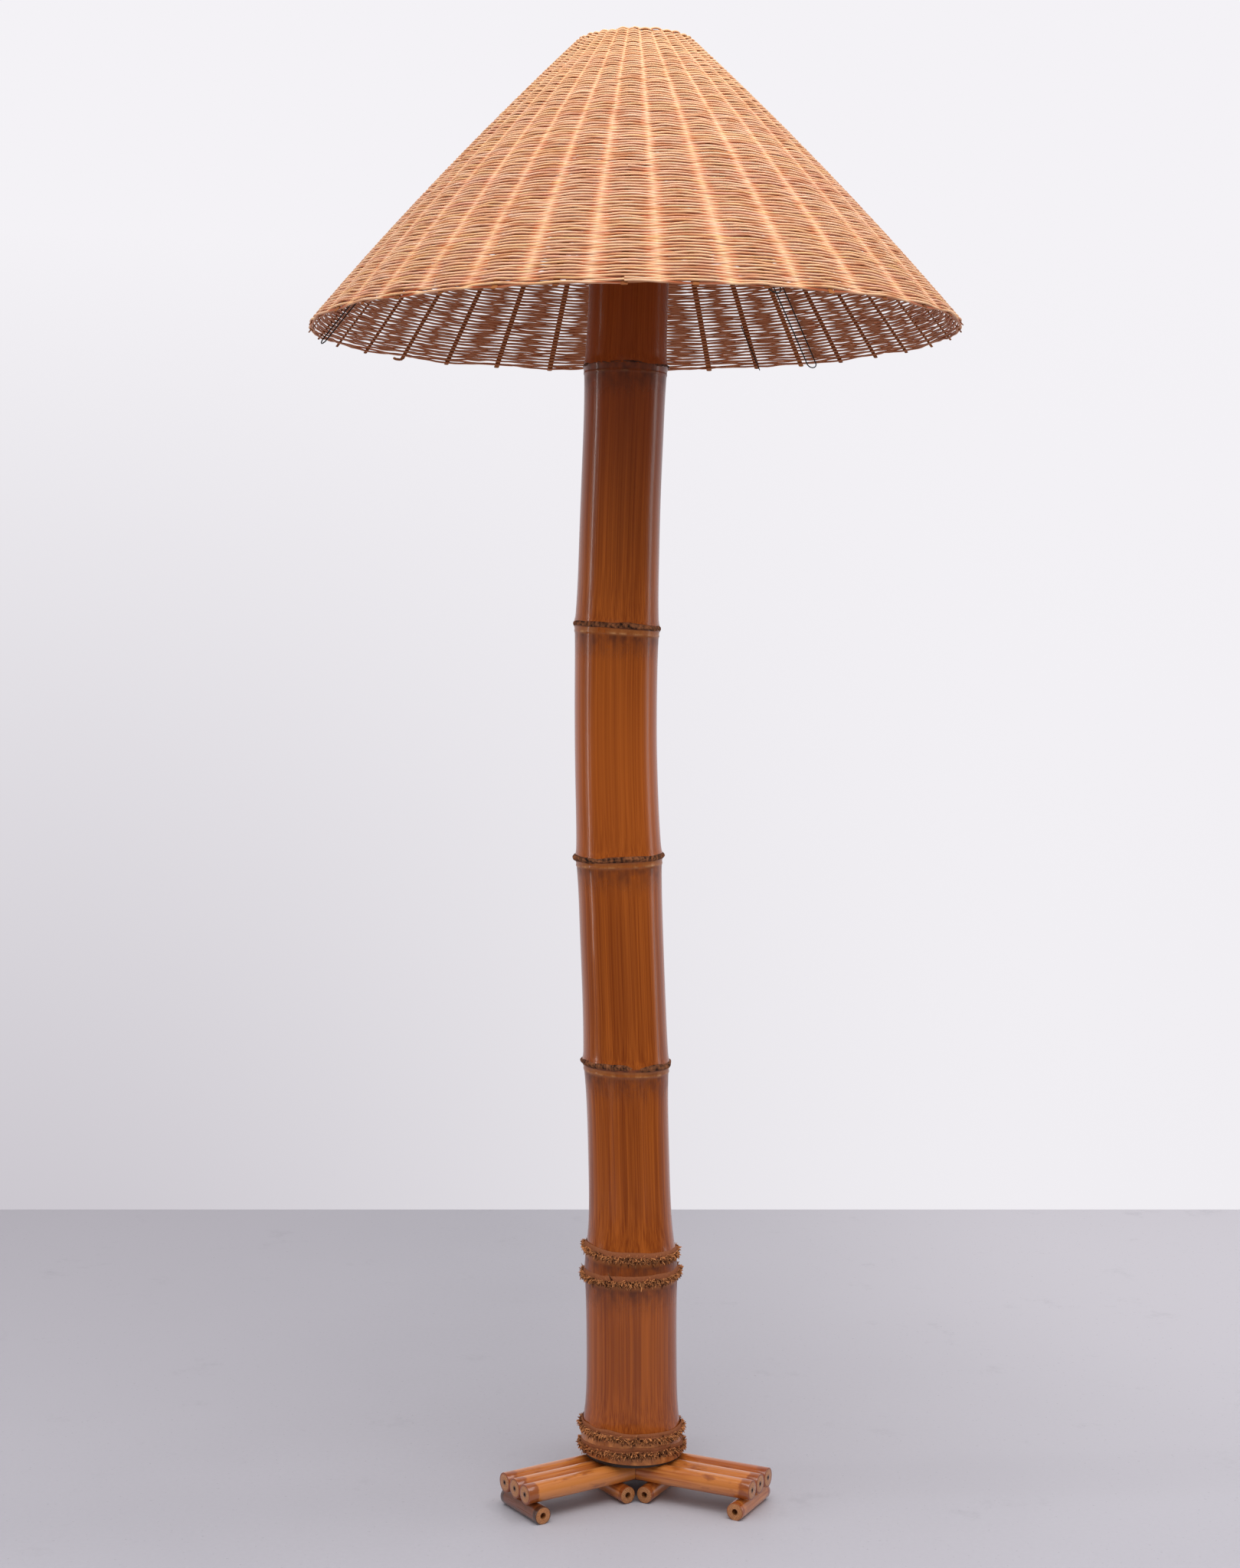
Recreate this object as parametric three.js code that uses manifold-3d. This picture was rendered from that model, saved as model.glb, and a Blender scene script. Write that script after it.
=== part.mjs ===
// A rattan floor lamp: a woven cone shade over a giant bamboo culm, on a three-armed cane base.
// Millimetres, +Z up, -Y to the front. The origin is on the floor, on the axis of the shade.

import * as THREE from "three";
import { mergeVertices } from "three/addons/utils/BufferGeometryUtils.js";
import Module from "manifold-3d";

const wasm = await Module();
wasm.setup();

const degree = Math.PI / 180;
const fullTurn = 2 * Math.PI;

// Clearances
const seatGap = 0.3; // between two pieces that rest on each other
const cutOverrun = 3; // how far a cut runs past the face that it opens
const weldTolerance = 0.0001; // corners closer than this are one
const sliverTolerance = 0.01; // faces flatter than this to their neighbours join them

// Cane base
const armCount = 3;
const baseTurn = 3 * degree; // the whole base stands a little turned
const baseShift = -2.4; // and a little to the left of the shade's axis
const armReach = 169; // from the lamp's axis to the square-cut ends
const armCaneDiameter = 23.3;
const canesPerArm = 3;
const outerFootInset = 15; // from the arms' ends in to the outer foot canes
const outerFootDiameter = 21;
const innerFootReachShare = 0.207;
const innerFootDiameter = 20;
const footCaneLength = 82;
const footFlatWidth = 6; // planed under each outer foot cane, where it meets the floor
const footBoreDiameter = 7.6;
const footBoreDepth = 14;
const pithHoleDiameter = 3.2;
const pithHoleDepth = 8;
const caneSides = 16;
const boreSides = 10;
const discDiameter = 118;
const discThickness = 4.3;
const discChamfer = 0.8;
const discSides = 28;

// Base screws, one up through the middle cane of each arm
const screwReach = 18;
const screwDiameter = 4.5;
const screwHeadDiameter = 8.6;
const screwHeadHeight = 2.6;
const screwBite = 24; // how deep the screw stands in the culm's foot
const screwClearance = 0.35;
const screwSides = 12;

// Bamboo culm
const culmLength = 1536;
const culmDiameter = 103;
const culmWall = 11;
const culmFootHeight = 52; // solid root wood under the bore
const culmSides = 20;
const culmSway = -25; // how far the crooked culm leaves the lamp's axis at most
const ridgeHeight = 7.5;
const scarDrop = 9.5; // from a joint's ridge down to its leaf scar
const scarHeight = 2;
const scarRise = 0.7;

// Joints of the culm from the floor up, as shares of its length and of its diameter.
// A fringed joint carries a root ring, and reach is the width over its fringe.
// waist is the thinnest part of the stretch above.
const culmJointShares = [
  { height: 0.0065, shoulder: 1.204, reach: 1.3, tilt: -0.012, fringed: true },
  { height: 0.021, shoulder: 1.175, reach: 1.28, tilt: -0.045, fringed: true, waist: 1.066 },
  { height: 0.1427, shoulder: 1.11, reach: 1.229, tilt: 0.028, fringed: true },
  { height: 0.161, shoulder: 1.062, reach: 1.184, tilt: -0.06, fringed: true, waist: 0.962 },
  { height: 0.3081, shoulder: 1.022, ridge: 1.087, tilt: -0.035, waist: 0.985 },
  { height: 0.4721, shoulder: 1.03, ridge: 1.093, tilt: 0.025, waist: 0.976 },
  { height: 0.6557, shoulder: 1.008, ridge: 1.058, tilt: -0.07, waist: 0.95 },
  { height: 0.8621, shoulder: 0.99, ridge: 1.047, tilt: -0.025, waist: 0.948 },
];
const stretchShares = [
  { along: 0.1, waisting: 0.55 },
  { along: 0.45, waisting: 1 },
  { along: 0.88, waisting: 0.6 },
];
const culmSwayShares = [0.19, 0.22, 0.42, 0.72, 0.97, 0.81, 0.49, 0.2];

// Root rings: a slice of the culm with a ledge, and a fringe of cut root stubs under its lip
const ringHalfHeight = 5;
const ringInlay = 2.6; // how deep the slice sits in the culm
const ledgeLip = 2.6;
const stubsPerRing = 80;
const stubLength = 4.4;
const stubDiameter = 2;
const stubRootDepth = 1.4;
const stubSides = 3;
const stubDroops = [62 * degree, 30 * degree];
const stubDroopSpread = 9 * degree;
const stubLengthSpreadShare = 0.28;

// Cord outlet, at the back of the culm's foot
const outletHeight = 66;
const outletBarrelDiameter = 11;
const outletBore = 6.8;
const outletFlangeDiameter = 17;
const outletFlangeThickness = 2.4;
const outletSides = 16;

// Cap and threaded stem on top of the culm
const capFlange = 8;
const capInset = 2.5;
const capChamfer = 1.5;
const capSpigot = 24;
const spigotSlack = 1.2; // round the spigot, in a bore that isn't quite straight
const stemDiameter = 10;
const stemBore = 6.8;
const stemTail = 10; // below the cap's spigot
const stemHead = 6; // above the floor of the holder's cap
const stemNutWidth = 17;
const stemNutHeight = 5;
const stemNutSides = 6;

// Lamp holder
const holderSides = 20;
const holderCapDiameter = 42;
const holderCapHeight = 26;
const holderCapFloor = 3;
const holderCapWall = 3;
const holderCapChamfer = 5;
const insertHeight = 12;
const shellDiameter = 39.6;
const shellHeight = 31;
const shellWall = 4.4;
const shellFootHeight = 4;
const collarDiameter = 52;
const collarThickness = 3;
const collarHeight = 16; // underside of the collar above the foot of the shell
const sleeveWall = 1;
const sleeveHeight = 24;

// Bulb
const bulbCapDiameter = 26.4;
const bulbCapHeight = 25;
const bulbThreads = 4;
const bulbThreadDepth = 0.9;
const bulbTipDiameter = 9;
const bulbTipHeight = 2;
const bulbDiameter = 60;
const bulbGlassHeight = 80;
const bulbGlassWall = 1.2;
const bulbNeckDiameter = 26;
const bulbSides = 16;
const bulbThreadRootShare = 0.1;
const bulbThreadCrestShare = 0.6;

// The pear of the bulb from its neck to its crown, as shares of its swell and of its height
const bulbPearShares = [
  { radius: 0, height: 0.14 },
  { radius: 0.3, height: 0.3 },
  { radius: 0.8, height: 0.48 },
  { radius: 1, height: 0.64 },
  { radius: 0.82, height: 0.83 },
  { radius: 0.25, height: 0.95 },
];

// Woven shade, measured on the centre lines of its stakes
const shadeRimRadius = 395.5;
const shadeTopRadius = 69;
const shadeHeight = 354;
const hubHeightShare = 0.646; // of the shade's height, from the rim up to its hub ring
const shadeBulge = 6.5; // halfway up, where the side's two straight runs meet
const stakeCount = 35;
const stakeWidth = 4.2;
const stakeThickness = 1.8;
const stakeSides = 6;
const stakeStub = 4.5; // how far each stake stands out below the rim border
const hoopWidth = 3; // the hoop that joins the stakes just below the top border
const weaveSkin = 1.6;
const weaveHalfLevels = 3; // of openings, on each of the side's two straight runs
const openingWidthShare = 0.45; // of the way from one stake to the next
const borderThickness = 6.4; // the close-packed last rows at the rim and at the top
const borderHeight = 7.2;

// The stakes are set by hand, so that their spacing widens and narrows round the shade
const stakePhase = -2.1 * degree;
const swayTwice = 3.44 * degree;
const swayTwiceLag = 25.8 * degree;
const swayOnce = 1.3 * degree;

// Wire frame of the shade
const frameArms = 3;
const framePhase = 142 * degree;
const topRingWire = 3;
const armWire = 4;
const hubBore = 40.4;
const hubDiameter = 62;
const hubThickness = 2;
const armElbow = 12;
const armBendSteps = 4;
const wireSides = 6;
const topRingSegments = 30;
const strutWire = 1.6;
const strutSpread = 14; // between the two legs of a strut
const strutLoop = 5; // how far its loop hangs below the rim border
const strutBendSteps = 5;
const strutLegSteps = 4;
const strutSides = 5;

// Ring nut that clamps the shade on the holder
const ringNutDiameter = 57;
const ringNutHeight = 8;
const ringNutGrips = 22;
const ringNutGripDepth = 1;

// Heights and places that follow from the sizes above
const footFlatDepth = outerFootDiameter / 2 - Math.sqrt((outerFootDiameter ** 2 - footFlatWidth ** 2) / 4);
const outerFootHeight = outerFootDiameter / 2 - footFlatDepth;
const footTop = outerFootHeight + outerFootDiameter / 2;
const innerFootHeight = footTop - innerFootDiameter / 2;
const armHeight = footTop + seatGap + armCaneDiameter / 2;
const discBottom = armHeight + armCaneDiameter / 2 + seatGap;
const culmBottom = discBottom + discThickness + seatGap;
const culmTop = culmBottom + culmLength;
const culmBoreRadius = lastOf(culmJointShares).waist * (culmDiameter / 2) - culmWall;
const capTop = culmTop + seatGap + capFlange;
const holderBottom = capTop + seatGap + stemNutHeight + seatGap;
const stemTop = holderBottom + holderCapFloor + stemHead;
const insertBottom = stemTop + seatGap;
const insertTop = insertBottom + insertHeight;
const shellBottom = holderBottom + holderCapHeight + seatGap;
const collarBottom = shellBottom + collarHeight;
const hubBottom = collarBottom + collarThickness + seatGap;
const ringNutBottom = hubBottom + hubThickness + seatGap;
const shadeRimHeight = hubBottom - hubHeightShare * shadeHeight;
const outerFootReach = armReach - outerFootInset;
const innerFootReach = innerFootReachShare * armReach;
const bulbBottom = insertTop + seatGap;
const slantRun = shadeRimRadius - shadeTopRadius;
const slantLength = Math.hypot(slantRun, shadeHeight);
const shellBoreRadius = shellDiameter / 2 - shellWall;
const holderCapBoreRadius = holderCapDiameter / 2 - holderCapWall;

function lastOf(list) {
  return list[list.length - 1];
}

// Materials
function finish(color, roughness, metalness) {
  return new THREE.MeshStandardMaterial({ color, roughness, metalness });
}

const lacqueredCane = finish(0xb4682a, 0.35, 0);
const darkCane = finish(0x6f3d1a, 0.4, 0);
const lacqueredBamboo = finish(0x9a4f1c, 0.25, 0);
const rootFibre = finish(0xb58348, 0.95, 0);
const darkWood = finish(0x2a1c14, 0.6, 0);
const peeledCane = finish(0xd9a87c, 0.7, 0);
const brownCane = finish(0x8a5a34, 0.7, 0);
const steel = finish(0x8d8d90, 0.35, 1);
const blackWire = finish(0x2b2622, 0.5, 0.6);
const brass = finish(0xb89452, 0.3, 1);
const phenolic = finish(0x1d1a18, 0.4, 0);
const porcelain = finish(0xe9e4d8, 0.3, 0);
const opalGlass = finish(0xf4f0e6, 0.2, 0);

// Solids from closed geometries, whichever way their outlines were drawn
function solidOf(geometry) {
  const loose = geometry.index ? geometry.toNonIndexed() : geometry.clone();
  loose.deleteAttribute("normal");
  loose.deleteAttribute("uv");
  const welded = mergeVertices(loose, weldTolerance);
  const corners = welded.index.array;
  const kept = [];
  for (let first = 0; first < corners.length; first += 3) {
    const [a, b, c] = corners.subarray(first, first + 3);
    if (a !== b && b !== c && c !== a) {
      kept.push(a, b, c);
    }
  }
  const vertProperties = new Float32Array(welded.attributes.position.array);
  const build = (faces) =>
    new wasm.Manifold(new wasm.Mesh({ numProp: 3, vertProperties, triVerts: new Uint32Array(faces) }));
  const solid = build(kept);
  return solid.volume() > 0 ? solid : build(kept.reverse());
}

function geometryOf(solid) {
  const mesh = solid.getMesh();
  const shared = new THREE.BufferGeometry();
  shared.setAttribute("position", new THREE.BufferAttribute(mesh.vertProperties, 3));
  shared.setIndex(new THREE.BufferAttribute(mesh.triVerts, 1));
  const faceted = shared.toNonIndexed();
  faceted.computeVertexNormals();
  return faceted;
}

function addPiece(group, name, solid, material) {
  const mesh = new THREE.Mesh(geometryOf(solid.asOriginal().simplify(sliverTolerance)), material);
  mesh.name = name;
  group.add(mesh);
}

// A body turned about the Z axis from [radius, height] points
function turned(outline, sides) {
  const points = outline.map(([radius, height]) => new THREE.Vector2(radius, height));
  return new THREE.LatheGeometry(points, sides).rotateX(Math.PI / 2);
}

function turnedRing(outline, sides) {
  return turned([...outline, outline[0]], sides);
}

// A round bar along Z between two heights, with a flat of its polygon facing +X
function bar(diameter, low, high, sides) {
  const radius = diameter / 2;
  return new THREE.CylinderGeometry(radius, radius, high - low, sides)
    .rotateX(Math.PI / 2)
    .rotateZ(Math.PI / 2 - Math.PI / sides)
    .translate(0, 0, (low + high) / 2);
}

function roundShape(diameter, sides) {
  const corners = [];
  for (let corner = 0; corner < sides; corner += 1) {
    const angle = (corner / sides) * fullTurn;
    corners.push(new THREE.Vector2(Math.cos(angle), Math.sin(angle)).multiplyScalar(diameter / 2));
  }
  return new THREE.Shape(corners);
}

// A path that runs straight from station to station, so that a swept tube has its rings there
class StationPath extends THREE.Curve {
  constructor(stations) {
    super();
    this.stations = stations;
  }

  getPoint(share) {
    const last = this.stations.length - 1;
    const from = Math.min(Math.floor(share * last), last - 1);
    return this.stations[from].clone().lerp(this.stations[from + 1], share * last - from);
  }

  getPointAt(share) {
    return this.getPoint(share);
  }

  getTangentAt(share) {
    const last = this.stations.length - 1;
    const here = Math.round(share * last);
    const heading = new THREE.Vector3();
    if (here > 0) {
      heading.add(this.stations[here].clone().sub(this.stations[here - 1]).normalize());
    }
    if (here < last) {
      heading.add(this.stations[here + 1].clone().sub(this.stations[here]).normalize());
    }
    return heading.normalize();
  }
}

function swept(stations, diameter, sides) {
  return new THREE.ExtrudeGeometry(roundShape(diameter, sides), {
    steps: stations.length - 1,
    extrudePath: new StationPath(stations),
    bevelEnabled: false,
  });
}

// A body through closed rings of corners, with flat ends
function lofted(rings) {
  const sides = rings[0].length;
  const faces = [];
  for (let ring = 1; ring < rings.length; ring += 1) {
    for (let side = 0; side < sides; side += 1) {
      const low = (ring - 1) * sides;
      const next = (side + 1) % sides;
      faces.push(low + side, low + next, low + sides + next);
      faces.push(low + side, low + sides + next, low + sides + side);
    }
  }
  const last = (rings.length - 1) * sides;
  for (let side = 1; side + 1 < sides; side += 1) {
    faces.push(0, side + 1, side);
    faces.push(last, last + side, last + side + 1);
  }
  const geometry = new THREE.BufferGeometry().setFromPoints(rings.flat());
  geometry.setIndex(faces);
  return geometry;
}

// Cane base

// The third of the floor that one arm owns: a wedge about +X whose sides are the mitres
function armWedge() {
  const reach = armReach + cutOverrun;
  const setback = seatGap / 2 / Math.sin(Math.PI / armCount);
  const spread = (reach - setback) * Math.tan(Math.PI / armCount);
  const outline = new THREE.Shape([
    new THREE.Vector2(setback, 0),
    new THREE.Vector2(reach, -spread),
    new THREE.Vector2(reach, spread),
  ]);
  const depth = armHeight + armCaneDiameter;
  return solidOf(new THREE.ExtrudeGeometry(outline, { depth, bevelEnabled: false }));
}

// A cane along X, its low and high ends given, with a pith hole in the outer end
function armCane(side) {
  const across = side * (armCaneDiameter + seatGap);
  const place = (geometry) => solidOf(geometry.rotateY(Math.PI / 2).translate(0, across, armHeight));
  const cane = place(bar(armCaneDiameter, 0, armReach, caneSides));
  const pith = place(bar(pithHoleDiameter, armReach - pithHoleDepth, armReach + cutOverrun, boreSides));
  return cane.subtract(pith).intersect(armWedge());
}

// A cane across the arms, along Y, hollow at both ends
function footCane(diameter, reach, height) {
  const half = footCaneLength / 2;
  const place = (geometry) => solidOf(geometry.rotateX(Math.PI / 2).translate(reach, 0, height));
  const nearBore = bar(footBoreDiameter, half - footBoreDepth, half + cutOverrun, boreSides);
  const farBore = bar(footBoreDiameter, -half - cutOverrun, footBoreDepth - half, boreSides);
  return place(bar(diameter, -half, half, caneSides)).subtract(place(nearBore)).subtract(place(farBore));
}

function floorCut() {
  const width = outerFootDiameter + cutOverrun;
  const length = footCaneLength + cutOverrun;
  const box = new THREE.BoxGeometry(width, length, outerFootDiameter);
  return solidOf(box.translate(outerFootReach, 0, -outerFootDiameter / 2));
}

// What the base screws need cut out of the piece they pass, between two heights
function screwHole(low, high) {
  const diameter = screwDiameter + 2 * screwClearance;
  return solidOf(bar(diameter, low, high, screwSides).translate(screwReach, 0, 0));
}

function baseScrew() {
  const headTop = armHeight - (armCaneDiameter / 2) * Math.cos(Math.PI / caneSides) - seatGap;
  const outline = [
    [0, headTop - screwHeadHeight],
    [screwHeadDiameter / 2 - screwHeadHeight / 2, headTop - screwHeadHeight],
    [screwHeadDiameter / 2, headTop - screwHeadHeight / 2],
    [screwHeadDiameter / 2, headTop],
    [screwDiameter / 2, headTop],
    [screwDiameter / 2, culmBottom + screwBite - screwDiameter],
    [0, culmBottom + screwBite],
  ];
  return solidOf(turned(outline, screwSides).translate(screwReach, 0, 0));
}

function armAngle(arm) {
  return Math.PI / 2 + baseTurn + (arm * fullTurn) / armCount;
}

function buildArm(arm, armName) {
  const group = new THREE.Group();
  group.rotation.z = armAngle(arm);
  for (let cane = 0; cane < canesPerArm; cane += 1) {
    const side = cane - (canesPerArm - 1) / 2;
    const whole = armCane(side);
    const drilled = whole.subtract(screwHole(0, discBottom + cutOverrun));
    addPiece(group, `${armName}_arm_cane_${cane + 1}`, side === 0 ? drilled : whole, lacqueredCane);
  }
  const outer = footCane(outerFootDiameter, outerFootReach, outerFootHeight).subtract(floorCut());
  const inner = footCane(innerFootDiameter, innerFootReach, innerFootHeight);
  addPiece(group, `${armName}_outer_foot_cane`, outer, darkCane);
  addPiece(group, `${armName}_inner_foot_cane`, inner, lacqueredCane);
  addPiece(group, `${armName}_base_screw`, baseScrew(), steel);
  return group;
}

function atEachArm(solid) {
  const copies = [];
  for (let arm = 0; arm < armCount; arm += 1) {
    copies.push(solid.rotate([0, 0, armAngle(arm) / degree]));
  }
  return copies.reduce((joined, copy) => joined.add(copy));
}

function baseDisc() {
  const radius = discDiameter / 2;
  const top = discBottom + discThickness;
  const outline = [
    [0, discBottom],
    [radius - discChamfer, discBottom],
    [radius, discBottom + discChamfer],
    [radius, top - discChamfer],
    [radius - discChamfer, top],
    [0, top],
  ];
  const disc = solidOf(turned(outline, discSides));
  return disc.subtract(atEachArm(screwHole(discBottom - cutOverrun, top + cutOverrun)));
}

// Bamboo culm

function culmRadius(share) {
  return (share * culmDiameter) / 2;
}

function culmDrift(height) {
  const knots = culmSwayShares.map((share, knot) => new THREE.Vector2(knot, share));
  const share = THREE.MathUtils.clamp((height - culmBottom) / culmLength, 0, 1);
  return culmSway * new THREE.SplineCurve(knots).getPoint(share).y;
}

function jointOutline(joint) {
  const height = culmBottom + joint.height * culmLength;
  const shoulder = culmRadius(joint.shoulder);
  if (joint.fringed) {
    const low = height - ringHalfHeight - seatGap;
    const high = height + ringHalfHeight + seatGap;
    return [
      [shoulder, low],
      [shoulder - ringInlay, low],
      [shoulder - ringInlay, high],
      [shoulder, high],
    ];
  }
  const ridge = culmRadius(joint.ridge);
  return [
    [shoulder, height - scarDrop - scarHeight],
    [shoulder + scarRise, height - scarDrop],
    [shoulder, height - ridgeHeight / 2],
    [ridge, height - ridgeHeight / 4],
    [ridge, height + ridgeHeight / 4],
    [shoulder, height + ridgeHeight / 2],
  ];
}

function stretchOutline(joint, next) {
  const low = culmBottom + joint.height * culmLength;
  const high = next ? culmBottom + next.height * culmLength : culmTop;
  const nextShoulder = next ? next.shoulder : joint.waist;
  return stretchShares.map(({ along, waisting }) => {
    const straight = THREE.MathUtils.lerp(joint.shoulder, nextShoulder, along);
    const share = THREE.MathUtils.lerp(straight, joint.waist, waisting);
    return [culmRadius(share), THREE.MathUtils.lerp(low, high, along)];
  });
}

function culmOutline() {
  const outside = culmJointShares.flatMap((joint, index) => {
    const own = jointOutline(joint);
    return joint.waist ? [...own, ...stretchOutline(joint, culmJointShares[index + 1])] : own;
  });
  const boreFloor = culmBottom + culmFootHeight;
  const bore = culmSwayShares.map((_, knot) => [
    culmBoreRadius,
    THREE.MathUtils.lerp(culmTop, boreFloor, knot / (culmSwayShares.length - 1)),
  ]);
  return [
    [0, culmBottom],
    [culmRadius(culmJointShares[0].shoulder) - discChamfer, culmBottom],
    ...outside,
    [culmRadius(lastOf(culmJointShares).waist), culmTop],
    ...bore,
    [0, boreFloor],
  ];
}

// Tilts a turned body at its joints and moves every level with the crooked culm
function followCulm(geometry) {
  const place = geometry.attributes.position;
  for (let corner = 0; corner < place.count; corner += 1) {
    const height = place.getZ(corner);
    const drift = culmDrift(height);
    place.setZ(corner, height + jointTilt(height) * place.getX(corner));
    place.setX(corner, place.getX(corner) + drift);
  }
  return geometry;
}

// The tilt of the joint that a height belongs to, and none between the joints
function jointTilt(height) {
  const near = culmJointShares.find((joint) => {
    const reach = joint.fringed ? ringHalfHeight + 2 * seatGap : 2 * scarDrop;
    return Math.abs(culmBottom + joint.height * culmLength - height) < reach;
  });
  return near ? near.tilt : 0;
}

function bambooCulm() {
  const culm = solidOf(followCulm(turned(culmOutline(), culmSides)));
  const screwDepth = screwBite + screwClearance;
  const screws = atEachArm(screwHole(culmBottom - cutOverrun, culmBottom + screwDepth));
  const outletHole = outletBarrelDiameter + 2 * seatGap;
  const outlet = solidOf(
    bar(outletHole, 0, culmDiameter, outletSides)
      .rotateX(-Math.PI / 2)
      .translate(culmDrift(culmBottom + outletHeight), 0, culmBottom + outletHeight),
  );
  return culm.subtract(screws.translate([baseShift, 0, 0])).subtract(outlet);
}

// One cut root stub, fused to the ledge it grows from at a [radius, height] point
function rootStub(index, [radius, height], droop) {
  const length = stubLength * (1 + stubLengthSpreadShare * Math.sin(index * index));
  const hang = droop + stubDroopSpread * Math.cos(index * index);
  return new THREE.ConeGeometry(stubDiameter / 2, length + stubRootDepth, stubSides)
    .translate(0, (length - stubRootDepth) / 2, 0)
    .rotateZ(-Math.PI / 2 - hang)
    .rotateX(Math.PI / 2)
    .translate(radius, 0, height)
    .rotateZ(((index + 0.5) / stubsPerRing) * fullTurn);
}

function rootRing(joint) {
  const height = culmBottom + joint.height * culmLength;
  const shoulder = culmRadius(joint.shoulder);
  const seat = shoulder - ringInlay + seatGap;
  const lip = culmRadius(joint.reach) - stubLength * Math.cos(lastOf(stubDroops));
  const underside = [
    [shoulder, height - ringHalfHeight],
    [lip, height - ledgeLip],
  ];
  const ledge = [[seat, height - ringHalfHeight], ...underside, [lip, height]];
  const top = [shoulder, height + ringHalfHeight];
  const outline = [...ledge, top, [seat, height + ringHalfHeight]];
  const roots = [
    [(shoulder + lip) / 2, height - (ringHalfHeight + ledgeLip) / 2],
    [lip, height - ledgeLip / 2],
  ];
  const placed = (geometry) => solidOf(followRing(geometry, joint.tilt, height));
  let ring = placed(turnedRing(outline, culmSides));
  for (let index = 0; index < stubsPerRing; index += 1) {
    const row = index % roots.length;
    ring = ring.add(placed(rootStub(index, roots[row], stubDroops[row])));
  }
  return ring;
}

// A ring moves as one with the culm at its own joint
function followRing(geometry, tilt, jointHeight) {
  const place = geometry.attributes.position;
  const drift = culmDrift(jointHeight);
  for (let corner = 0; corner < place.count; corner += 1) {
    const across = place.getX(corner);
    place.setXYZ(corner, across + drift, place.getY(corner), place.getZ(corner) + tilt * across);
  }
  return geometry;
}

function cordOutlet() {
  const height = culmBottom + outletHeight;
  const face = outletFace();
  const inner = culmBoreRadius;
  const outline = [
    [outletBore / 2, inner],
    [outletBarrelDiameter / 2, inner],
    [outletBarrelDiameter / 2, face],
    [outletFlangeDiameter / 2, face],
    [outletFlangeDiameter / 2, face + outletFlangeThickness / 2],
    [outletBarrelDiameter / 2, face + outletFlangeThickness],
    [outletBore / 2, face + outletFlangeThickness],
  ];
  const body = turnedRing(outline, outletSides).rotateX(-Math.PI / 2);
  return solidOf(body.translate(culmDrift(height), 0, height));
}

// How far back the culm's surface lies at the cord outlet
function outletFace() {
  const height = culmBottom + outletHeight;
  const outline = culmOutline();
  const above = outline.findIndex(([, level]) => level > height + outletFlangeDiameter / 2);
  return Math.max(outline[above - 1][0], outline[above][0]) + seatGap;
}

// Cap, stem and lamp holder

function trunkCap() {
  const top = culmRadius(lastOf(culmJointShares).waist) - capInset;
  const spigot = culmBoreRadius - spigotSlack;
  const seat = culmTop + seatGap;
  const outline = [
    [0, seat - capSpigot],
    [spigot, seat - capSpigot],
    [spigot, seat],
    [top, seat],
    [top, capTop - capChamfer],
    [top - capChamfer, capTop],
    [0, capTop],
  ];
  const plug = solidOf(turned(outline, culmSides).translate(culmDrift(culmTop), 0, 0));
  const hole = bar(stemDiameter + 2 * seatGap, seat - capSpigot - cutOverrun, capTop + cutOverrun, outletSides);
  return plug.subtract(solidOf(hole));
}

function stemTube() {
  const foot = culmTop - capSpigot - stemTail;
  const outline = [
    [stemBore / 2, foot],
    [stemDiameter / 2, foot],
    [stemDiameter / 2, stemTop],
    [stemBore / 2, stemTop],
  ];
  return solidOf(turnedRing(outline, outletSides));
}

function stemNut() {
  const low = capTop + seatGap;
  const acrossCorners = stemNutWidth / Math.cos(Math.PI / stemNutSides);
  const nut = solidOf(bar(acrossCorners, low, low + stemNutHeight, stemNutSides));
  const hole = bar(stemDiameter + 2 * seatGap, low - cutOverrun, low + stemNutHeight + cutOverrun, outletSides);
  return nut.subtract(solidOf(hole));
}

function holderCap() {
  const outer = holderCapDiameter / 2;
  const floor = holderBottom + holderCapFloor;
  const top = holderBottom + holderCapHeight;
  const hole = stemDiameter / 2 + seatGap;
  const outline = [
    [hole, holderBottom],
    [outer - holderCapChamfer, holderBottom],
    [outer, holderBottom + holderCapChamfer],
    [outer, top],
    [holderCapBoreRadius, top],
    [holderCapBoreRadius, floor + holderCapFloor],
    [holderCapBoreRadius - holderCapFloor, floor],
    [hole, floor],
  ];
  return solidOf(turnedRing(outline, holderSides));
}

function contactInsert() {
  const radius = holderCapBoreRadius - seatGap;
  return solidOf(bar(2 * radius, insertBottom, insertTop, holderSides));
}

function holderShell() {
  const radius = shellDiameter / 2;
  const top = shellBottom + shellHeight;
  const outline = [
    [shellBoreRadius, shellBottom],
    [holderCapDiameter / 2, shellBottom],
    [holderCapDiameter / 2, shellBottom + shellFootHeight],
    [radius, shellBottom + shellFootHeight],
    [radius, collarBottom - collarThickness],
    [collarDiameter / 2, collarBottom],
    [collarDiameter / 2, collarBottom + collarThickness],
    [radius, collarBottom + collarThickness],
    [radius, top],
    [shellBoreRadius, top],
  ];
  return solidOf(turnedRing(outline, holderSides));
}

function threadSleeve() {
  const outer = shellBoreRadius - seatGap;
  const outline = [
    [outer - sleeveWall, insertTop + seatGap],
    [outer, insertTop + seatGap],
    [outer, insertTop + seatGap + sleeveHeight],
    [outer - sleeveWall, insertTop + seatGap + sleeveHeight],
  ];
  return solidOf(turnedRing(outline, holderSides));
}

// Bulb

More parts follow.
